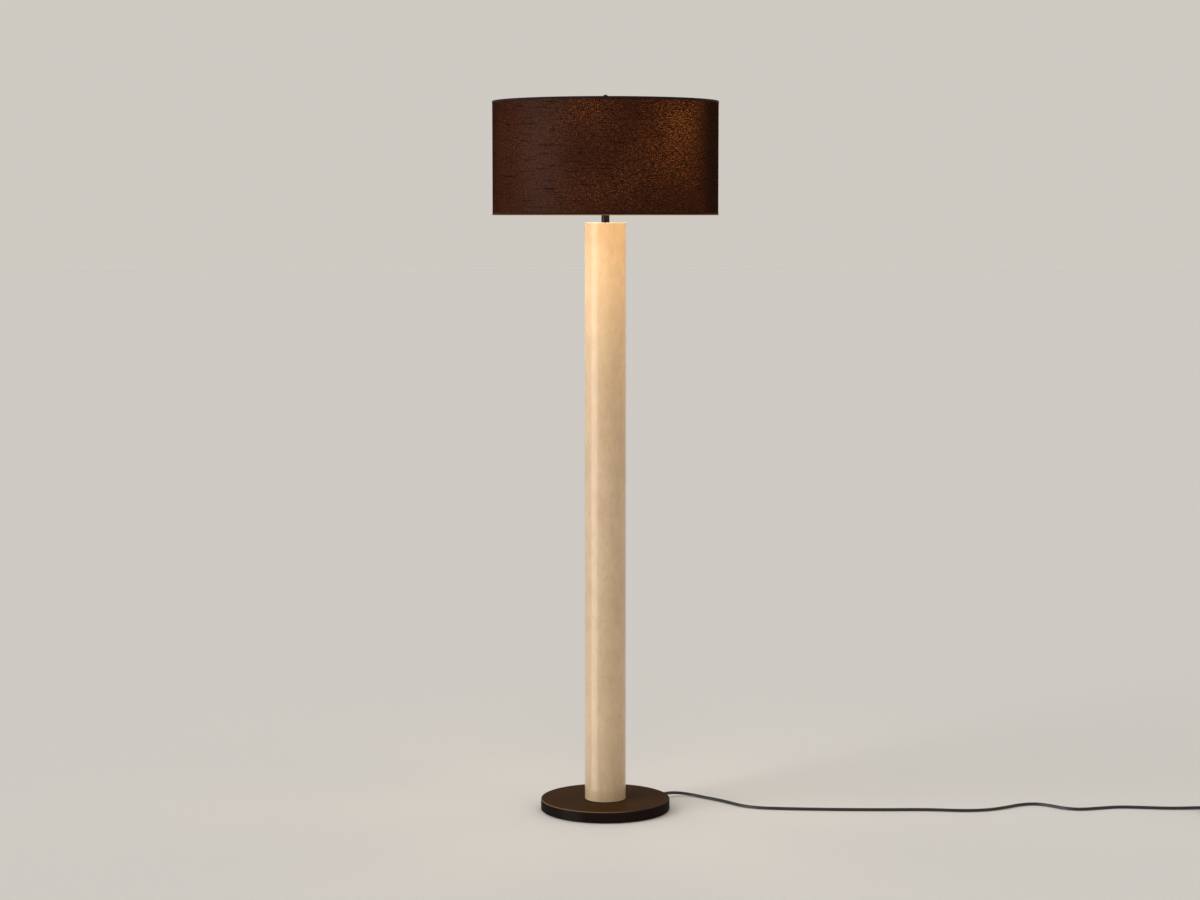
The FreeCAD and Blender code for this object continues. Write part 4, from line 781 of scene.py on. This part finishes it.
# ---------------------------------------------------------------------------------------------
# Shade: coarse brown linen with slubs, laminated to a stiff amber lining and stretched round two
# wire rings. Its ends lap in an upright seam, and a folded binding covers each edge. The upper
# ring, three arms and a hub are one welded frame that hangs on the harp's stud.
# ---------------------------------------------------------------------------------------------
cover_low, cover_high = extent("shade_cover")
liner_low, liner_high = extent("shade_liner")
trim_low, trim_high = extent("top_trim")
hem_low = extent("bottom_trim")[0]
cover_radius = cover_high[0]
liner_radius = liner_high[0]
shade_radius = trim_high[0]
liner_wall = 0.4
lap_bearing = math.radians(-90 + 17.6)
lap_width = 9.0
lap_step = 0.22
hem_height = 11.0
hem_step = 0.08
slub_height = 0.018
cover_columns = 1000
cover_rows = 84
draw = np.random.default_rng(7)


def slub_relief(bearing, height):
    """Relief of the linen in mm, from a bearing in radians and a share of the height.

    It is a sum of sin(around bearing + phase) sin(2 pi up height + phase) with drawn phases: the
    first three terms are long round the shade, as weft slubs are, and the others long up it.
    """
    relief = 0 * bearing
    for around, up in ((14, 60), (22, 75), (9, 48), (170, 8), (210, 5), (130, 11)):
        turn_phase, rise_phase = draw.uniform(0, 2 * math.pi, 2)
        relief = relief + np.sin(around * bearing + turn_phase) * np.sin(
            up * height * 2 * math.pi + rise_phase
        )
    return relief * slub_height


def linen_tube():
    """The cloth as a closed wall: a fine grid outside, and one strip of quads inside.

    The radius adds the slubs, lap_step mm where the ends lap and hem_step mm at each turned-in
    hem. Each step is a logistic curve, 1 / (1 + exp(x / blur)) at x mm past its edge. All of it
    fades out over the last edge_fade mm before both edges.
    """
    edge_fade = 6
    sunk = 0.05
    lap_front_blur, lap_back_blur, hem_blur = 0.5, 1.5, 0.6
    rise = np.linspace(cover_low[2], cover_high[2], cover_rows)
    inner = liner_radius + sunk
    profile = np.concatenate([
        np.stack([np.full_like(rise, cover_radius), rise], axis=1),
        [[inner, cover_high[2]], [inner, cover_low[2]]],
    ])
    grid = turned(profile, cover_columns, lap_bearing)
    bearing = np.arctan2(grid[..., 1], grid[..., 0])
    height = (grid[..., 2] - cover_low[2]) / (cover_high[2] - cover_low[2])
    edge = np.minimum(height, 1 - height) * (cover_high[2] - cover_low[2])
    fade = np.clip(edge / edge_fade, 0, 1)
    from_lap = np.angle(np.exp(1j * (bearing - lap_bearing))) * cover_radius
    lap = lap_step / (1 + np.exp(-(from_lap + lap_width / 2) / lap_front_blur))
    lap = lap / (1 + np.exp((from_lap - lap_width / 2) / lap_back_blur))
    hem = hem_step / (1 + np.exp((edge - hem_height) / hem_blur))
    proud = (slub_relief(bearing, height) + lap) * fade + hem * fade - sunk
    proud[cover_rows:] = 0
    grid[..., :2] *= (1 + proud / np.hypot(grid[..., 0], grid[..., 1]))[..., None]
    return grid


shade_cloth = skin(
    "shade_cloth", linen_tube(), "shade", ["shade_cover"], closed=True
)
BLACK = (0.0, 0.0, 0.0)
linen = Finish(
    "brown_linen", Roughness=0.75, Specular_IOR_Level=0.0, Emission_Strength=1.0,
    Sheen_Weight=0.02, Sheen_Roughness=0.15, Sheen_Tint=(1.0, 0.62, 0.40),
)
cloth_map = linen.node("ShaderNodeUVMap", {"uv_map": "cloth"}, {})
weft_yarns = linen.noise(1.0, 3, linen.stretch(0.10, 0.60, 1, cloth_map), 0.6)
warp_yarns = linen.noise(1.0, 3, linen.stretch(0.56, 0.11, 1, cloth_map), 0.6)
loops = linen.noise(0.42, 1, cloth_map, 0.6)
fluff = linen.noise(1.0, 2, cloth_map, 0.7)
weft_slubs = linen.noise(1.0, 3, linen.stretch(0.015, 0.26, 1, cloth_map), 0.6)
warp_slubs = linen.noise(1.0, 3, linen.stretch(0.36, 0.040, 1, cloth_map), 0.6)
grain = 0.32 * weft_yarns + 0.22 * warp_yarns + 0.34 * loops + 0.12 * fluff
dark_slubs = linen.ramp(weft_slubs, 0.55, 0.67)
loop_tops = linen.ramp(grain, 0.51, 0.585)
pits = linen.ramp(grain, 0.415, 0.49, 1.0, 0.0)
to_right, to_back = linen.along(0), linen.along(1)
from_front = to_right.math("ARCTAN2", to_right, -1 * to_back) * cover_radius
from_hem = linen.along(2) / MM - cover_low[2]


def bloom(bearing, height, reach_along, reach_up):
    """A soft patch of the cloth: exp(-(x / reach_along)^2 - (y / reach_up)^2), x mm along and y
    mm up from its middle, which is at a bearing in degrees to the right of the front and a height
    in mm above the lower edge."""
    along = (from_front - math.radians(bearing) * cover_radius) / reach_along
    up = (from_hem - height) / reach_up
    return linen.hill(along) * linen.hill(up)


def strip(first, last, blur):
    """An upright strip of the cloth between two bearings, with soft edges; all in degrees."""
    first, last, blur = (math.radians(angle) * cover_radius for angle in (first, last, blur))
    return linen.ramp(from_front, first, first + blur) * linen.ramp(
        from_front, last - blur, last, 1.0, 0.0
    )


# Where the bulb shines through the cloth: how strongly, and the bloom's four values.
shine_through = (
    (0.72, 40, 195, 64, 62), (0.30, -9, 218, 62, 36), (0.28, 34, 110, 90, 60),
    (0.14, -6, 60, 80, 36), (0.42, 152, 180, 95, 60), (0.34, -138, 165, 110, 70),
)
thin = linen.ramp(
    linen.noise(1.0, 3, linen.stretch(0.008, 0.010, 1, cloth_map), 0.6), 0.42, 0.72
)
shining = 0.05 + 0.12 * thin
for strength, *patch in shine_through:
    shining = shining + strength * bloom(*patch)
# Painted sheen: a paler mauve upright band at the front left, where light from the window glosses
# the cloth.
painted_sheen_band = bloom(-34, 120, 62, 210)
unlit = 0.9 * strip(52, 104, 14) + 0.6 * strip(-102, -62, 16)

dark_yarn, light_yarn = (0.034, 0.0102, 0.0054), (0.050, 0.0158, 0.0085)
# The mauve of the painted sheen band.
sheen_mauve_yarn = (0.060, 0.0290, 0.0225)
loop_brown = (0.098, 0.036, 0.0195)
slub_brown = (0.010, 0.0038, 0.0024)
unlit_brown = (0.0150, 0.0074, 0.0050)
pit_brown = (0.006, 0.0022, 0.0012)
shine_amber = (0.46, 0.125, 0.022)
yarn = linen.mix(linen.ramp(warp_slubs, 0.35, 0.65), dark_yarn, light_yarn)
yarn = linen.mix(painted_sheen_band * 0.9, yarn, sheen_mauve_yarn)
yarn = linen.mix(loop_tops * 0.55, yarn, loop_brown)
yarn = linen.mix(dark_slubs * 0.75, yarn, slub_brown)
yarn = linen.mix(unlit * 0.62, yarn, unlit_brown)
yarn = linen.mix(pits * linen.ramp(shining, 0.0, 0.6, 0.55, 0.95), yarn, pit_brown)
open_weave = (0.05 + 0.95 * loop_tops) * (1 - 0.95 * pits) * (1 - 0.6 * dark_slubs)
linen.set(
    Base_Color=yarn,
    Emission_Color=linen.mix(shining * open_weave * (1 - unlit), BLACK, shine_amber),
)
linen.bump(0.5 * grain + 0.3 * weft_slubs + 0.2 * warp_slubs, 0.9)
linen.on(shade_cloth)


def edge_binding(edge, wrap):
    """Folded binding over one edge: a hook-shaped section turned round the axis.

    It reaches from the lining over the edge and along the cloth. Its free edge wavers by
    0.1 (sin 41 a + sin(67 a + 1)) mm at the bearing a.
    """
    over_cloth = cover_radius + 0.02
    side = 1 if wrap > edge else -1
    reach = trim_high[2] - trim_low[2]
    bore = liner_radius - liner_wall
    section = outline([
        (bore, edge, 0.12), (over_cloth, edge, 0.05),
        (over_cloth, wrap - reach * side, 0.1), (shade_radius, wrap - reach * side, 0.25),
        (shade_radius, wrap, 0.3), (bore, wrap, 0.3),
    ], closed=True, steps=4)
    grid = turned(section if side < 0 else section[::-1], 512)
    bearing = np.arctan2(grid[..., 1], grid[..., 0])
    free = np.clip(abs(grid[..., 2] - edge) / reach, 0, 1) * (
        np.hypot(grid[..., 0], grid[..., 1]) > cover_radius
    )
    waver = 0.1 * (np.sin(41 * bearing) + np.sin(67 * bearing + 1))
    grid[..., 2] += waver * free * (np.sign(edge - grid[..., 2]) == side)
    return grid


binding_pieces = [
    skin("upper_binding", edge_binding(cover_high[2], trim_high[2]), "shade",
         ["top_trim"], closed=True),
    skin("lower_binding", edge_binding(cover_low[2], hem_low[2]), "shade",
         ["bottom_trim"], closed=True),
]
binding = Finish("dark_binding", Roughness=0.8, Specular_IOR_Level=0.2, Emission_Strength=1.0)
bias = binding.noise(500, 3, binding.stretch(1, 1, 3))
# Painted light: the lowest 1.6 mm of the lower binding glows amber, for the bulb's light showing
# under the hem.
painted_hem_glow = binding.above(hem_low[2], 1.6, 1.0, 0.0)
binding.set(
    Base_Color=binding.mix(bias, (0.008, 0.004, 0.003), (0.024, 0.011, 0.007)),
    Emission_Color=binding.mix(painted_hem_glow, BLACK, (0.42, 0.19, 0.055)),
)
binding.bump(bias, 0.15)
binding.on(*binding_pieces)

lining_sheet = skin("shade_lining", turned(outline([
    (liner_radius - liner_wall, liner_low[2], 0), (liner_radius, liner_low[2], 0),
    (liner_radius, liner_high[2], 0), (liner_radius - liner_wall, liner_high[2], 0),
], closed=True), 512), "shade", ["shade_liner"], closed=True)
lining = Finish("amber_lining", Roughness=0.5, Emission_Strength=1.0)
lining_dim, lining_lit = (0.10, 0.048, 0.014), (0.50, 0.275, 0.085)
share_up = lining.above(liner_low[2], liner_high[2] - liner_low[2])
ripple = lining.noise(14, 3)
lit = lining.ramp(share_up, 0.0, 0.55, 0.55, 1.0) * lining.ramp(share_up, 0.45, 1.0, 1.0, 0.5)
lining.set(
    Base_Color=lining.mix(ripple, (0.60, 0.385, 0.175), (0.72, 0.49, 0.245)),
    Emission_Color=lining.mix(lit * (0.85 + 0.3 * ripple), lining_dim, lining_lit),
)
lining.bump(lining.noise(300, 3), 0.06)
lining.on(lining_sheet)


def wire_ring(radius, level, wire, sides=16):
    """A round wire bent to a ring: the circle (radius + w cos a, level + w sin a), with half the
    wire as w, turned round the axis."""
    swing = np.linspace(0, 2 * math.pi, sides, endpoint=False)
    section = np.stack([
        radius + wire / 2 * np.cos(swing), level + wire / 2 * np.sin(swing)
    ], axis=1)
    return turned(section, 384)


ring_low, ring_high = extent("bottom_ring")
ring_wire = ring_high[2] - ring_low[2]
lower_ring = skin(
    "lower_ring",
    wire_ring(ring_high[0] - ring_wire / 2, (ring_low[2] + ring_high[2]) / 2, ring_wire),
    "shade", ["bottom_ring"], closed=True,
)
coating = Finish("white_wire_coating")
sprayed = coating.noise(120, 4)
coating.set(
    Base_Color=coating.mix(sprayed, (0.66, 0.63, 0.57), (0.78, 0.76, 0.70)),
    Roughness=0.38 + 0.2 * sprayed,
)
coating.bump(coating.noise(700, 2), 0.03)
coating.on(lower_ring, "shade_spider")


# ---------------------------------------------------------------------------------------------
# Finial: a turned knob with a flat foot, a waist and a ball, in satin dark bronze. It screws down
# on the stud and holds the shade.
# ---------------------------------------------------------------------------------------------
bronze = Finish("dark_bronze", Metallic=0.6, Coat_Weight=0.2, Coat_Roughness=0.25)
patina = bronze.noise(220, 4)
bronze.set(
    Base_Color=bronze.mix(patina, (0.020, 0.014, 0.011), (0.046, 0.033, 0.025)),
    Roughness=0.3 + 0.2 * patina,
)
bronze.on("finial")


# ---------------------------------------------------------------------------------------------
# Studio: a pale floor without an edge under an even pale sky. A tall window on the left lights
# that side and draws the upright highlight on the column and the shade. Two rings of small lamps
# inside the shade stand for the light that its lining throws on the column.
# ---------------------------------------------------------------------------------------------
# The floor lies just under the pad, so that the two faces don't coincide. Seen from below it is
# clear, and gloss shows the pale room instead of it.
floor_reach = 60.0
floor_level = -0.00005
floor_rim = turned(np.array([[floor_reach, floor_level]]), 64)[0]
floor_mesh = bpy.data.meshes.new("studio_floor")
floor_mesh.from_pydata(floor_rim.tolist(), [], [tuple(range(len(floor_rim)))])
studio_floor = bpy.data.objects.new("studio_floor", floor_mesh)
scene.collection.objects.link(studio_floor)
floor_finish = Finish(
    "pale_floor", Roughness=0.8, Specular_IOR_Level=0.1, Base_Color=(0.86, 0.845, 0.815)
)
clear = floor_finish.node("ShaderNodeBsdfTransparent", {}, {})
underside = floor_finish.node("ShaderNodeNewGeometry", {}, {}, "Backfacing")
two_sided = floor_finish.node(
    "ShaderNodeMixShader", {},
    {0: underside, 1: Field(floor_finish, floor_finish.shader.outputs[0]), 2: clear},
)
floor_output = floor_finish.nodes["Material Output"]
floor_finish.links.new(two_sided.socket, floor_output.inputs["Surface"])
floor_finish.on(studio_floor)
studio_floor.visible_glossy = False

world = bpy.data.worlds.new("studio")
scene.world = world
sky = Nodes(world)
toward = sky.node("ShaderNodeTexCoord", {}, {}, "Generated")


def sky_axis(index):
    """One coordinate of the direction of the sky."""
    return sky.node("ShaderNodeSeparateXYZ", {}, {0: toward}, index)


# The sky is warmer to the right. The camera sees it in the colour of the lit floor far away, so
# that no horizon shows.
room_strength, window_strength = 0.56, 2.4
window_start, window_end, window_blur = (math.radians(angle) for angle in (43, 82, 5))
left_tint, right_tint = (1.0, 0.972, 0.935), (1.0, 0.90, 0.78)
window_tint = (1.0, 0.995, 0.99)
far_floor = (0.622, 0.592, 0.545)
to_right, to_back, upward = (sky_axis(index) for index in range(3))
bearing_left = to_right.math("ARCTAN2", -1 * to_right, -1 * to_back)
window = sky.ramp(bearing_left, window_start, window_start + window_blur)
window = window * sky.ramp(bearing_left, window_end, window_end + window_blur, 1.0, 0.0)
window = window * sky.ramp(upward, 0.70, 0.90, 1.0, 0.0)
room_tint = sky.mix(sky.ramp(to_right, 0.1, 0.9), left_tint, right_tint)
room_tint = sky.mix(window, room_tint, window_tint)
brightness = room_strength + window_strength * window
lit_sky = sky.mix(1.0, room_tint, brightness, "MULTIPLY")
camera_ray = sky.node("ShaderNodeLightPath", {}, {}, "Is Camera Ray")
seen_sky = sky.mix(camera_ray, lit_sky, far_floor)
sky.links.new(seen_sky.socket, sky.nodes["Background"].inputs["Color"])

# Each ring: the watts and the cone of a lamp, the height that it aims at, and how many lamps.
# To the right they are weaker and a deeper amber.
throw_rings = ((1.9, 50, 1.20, 6), (2.15, 28, 1.00, 12))
throw_radius = 0.195
throw_height = 1.52
throw_lean = 0.22
throw_softness = 0.045
for watts, cone, aim_height, lamp_count in throw_rings:
    for index in range(lamp_count):
        bearing = 2 * math.pi * (index + 0.5) / lamp_count
        throw = bpy.data.lights.new("lining_throw", "SPOT")
        right = math.cos(bearing)
        throw.energy = watts * (1 - throw_lean * right)
        throw.color = (1.0, 0.81 - 0.06 * right, 0.49 - 0.14 * right)
        throw.shadow_soft_size = throw_softness
        throw.spot_size = math.radians(cone)
        throw.spot_blend = 1.0
        lamp = bpy.data.objects.new("lining_throw", throw)
        level = (throw_radius * math.cos(bearing), throw_radius * math.sin(bearing))
        lamp.location = (*level, throw_height)
        downward = Vector((0, 0, aim_height)) - lamp.location
        lamp.rotation_euler = downward.to_track_quat("-Z", "Y").to_euler()
        lamp.visible_camera = False
        scene.collection.objects.link(lamp)
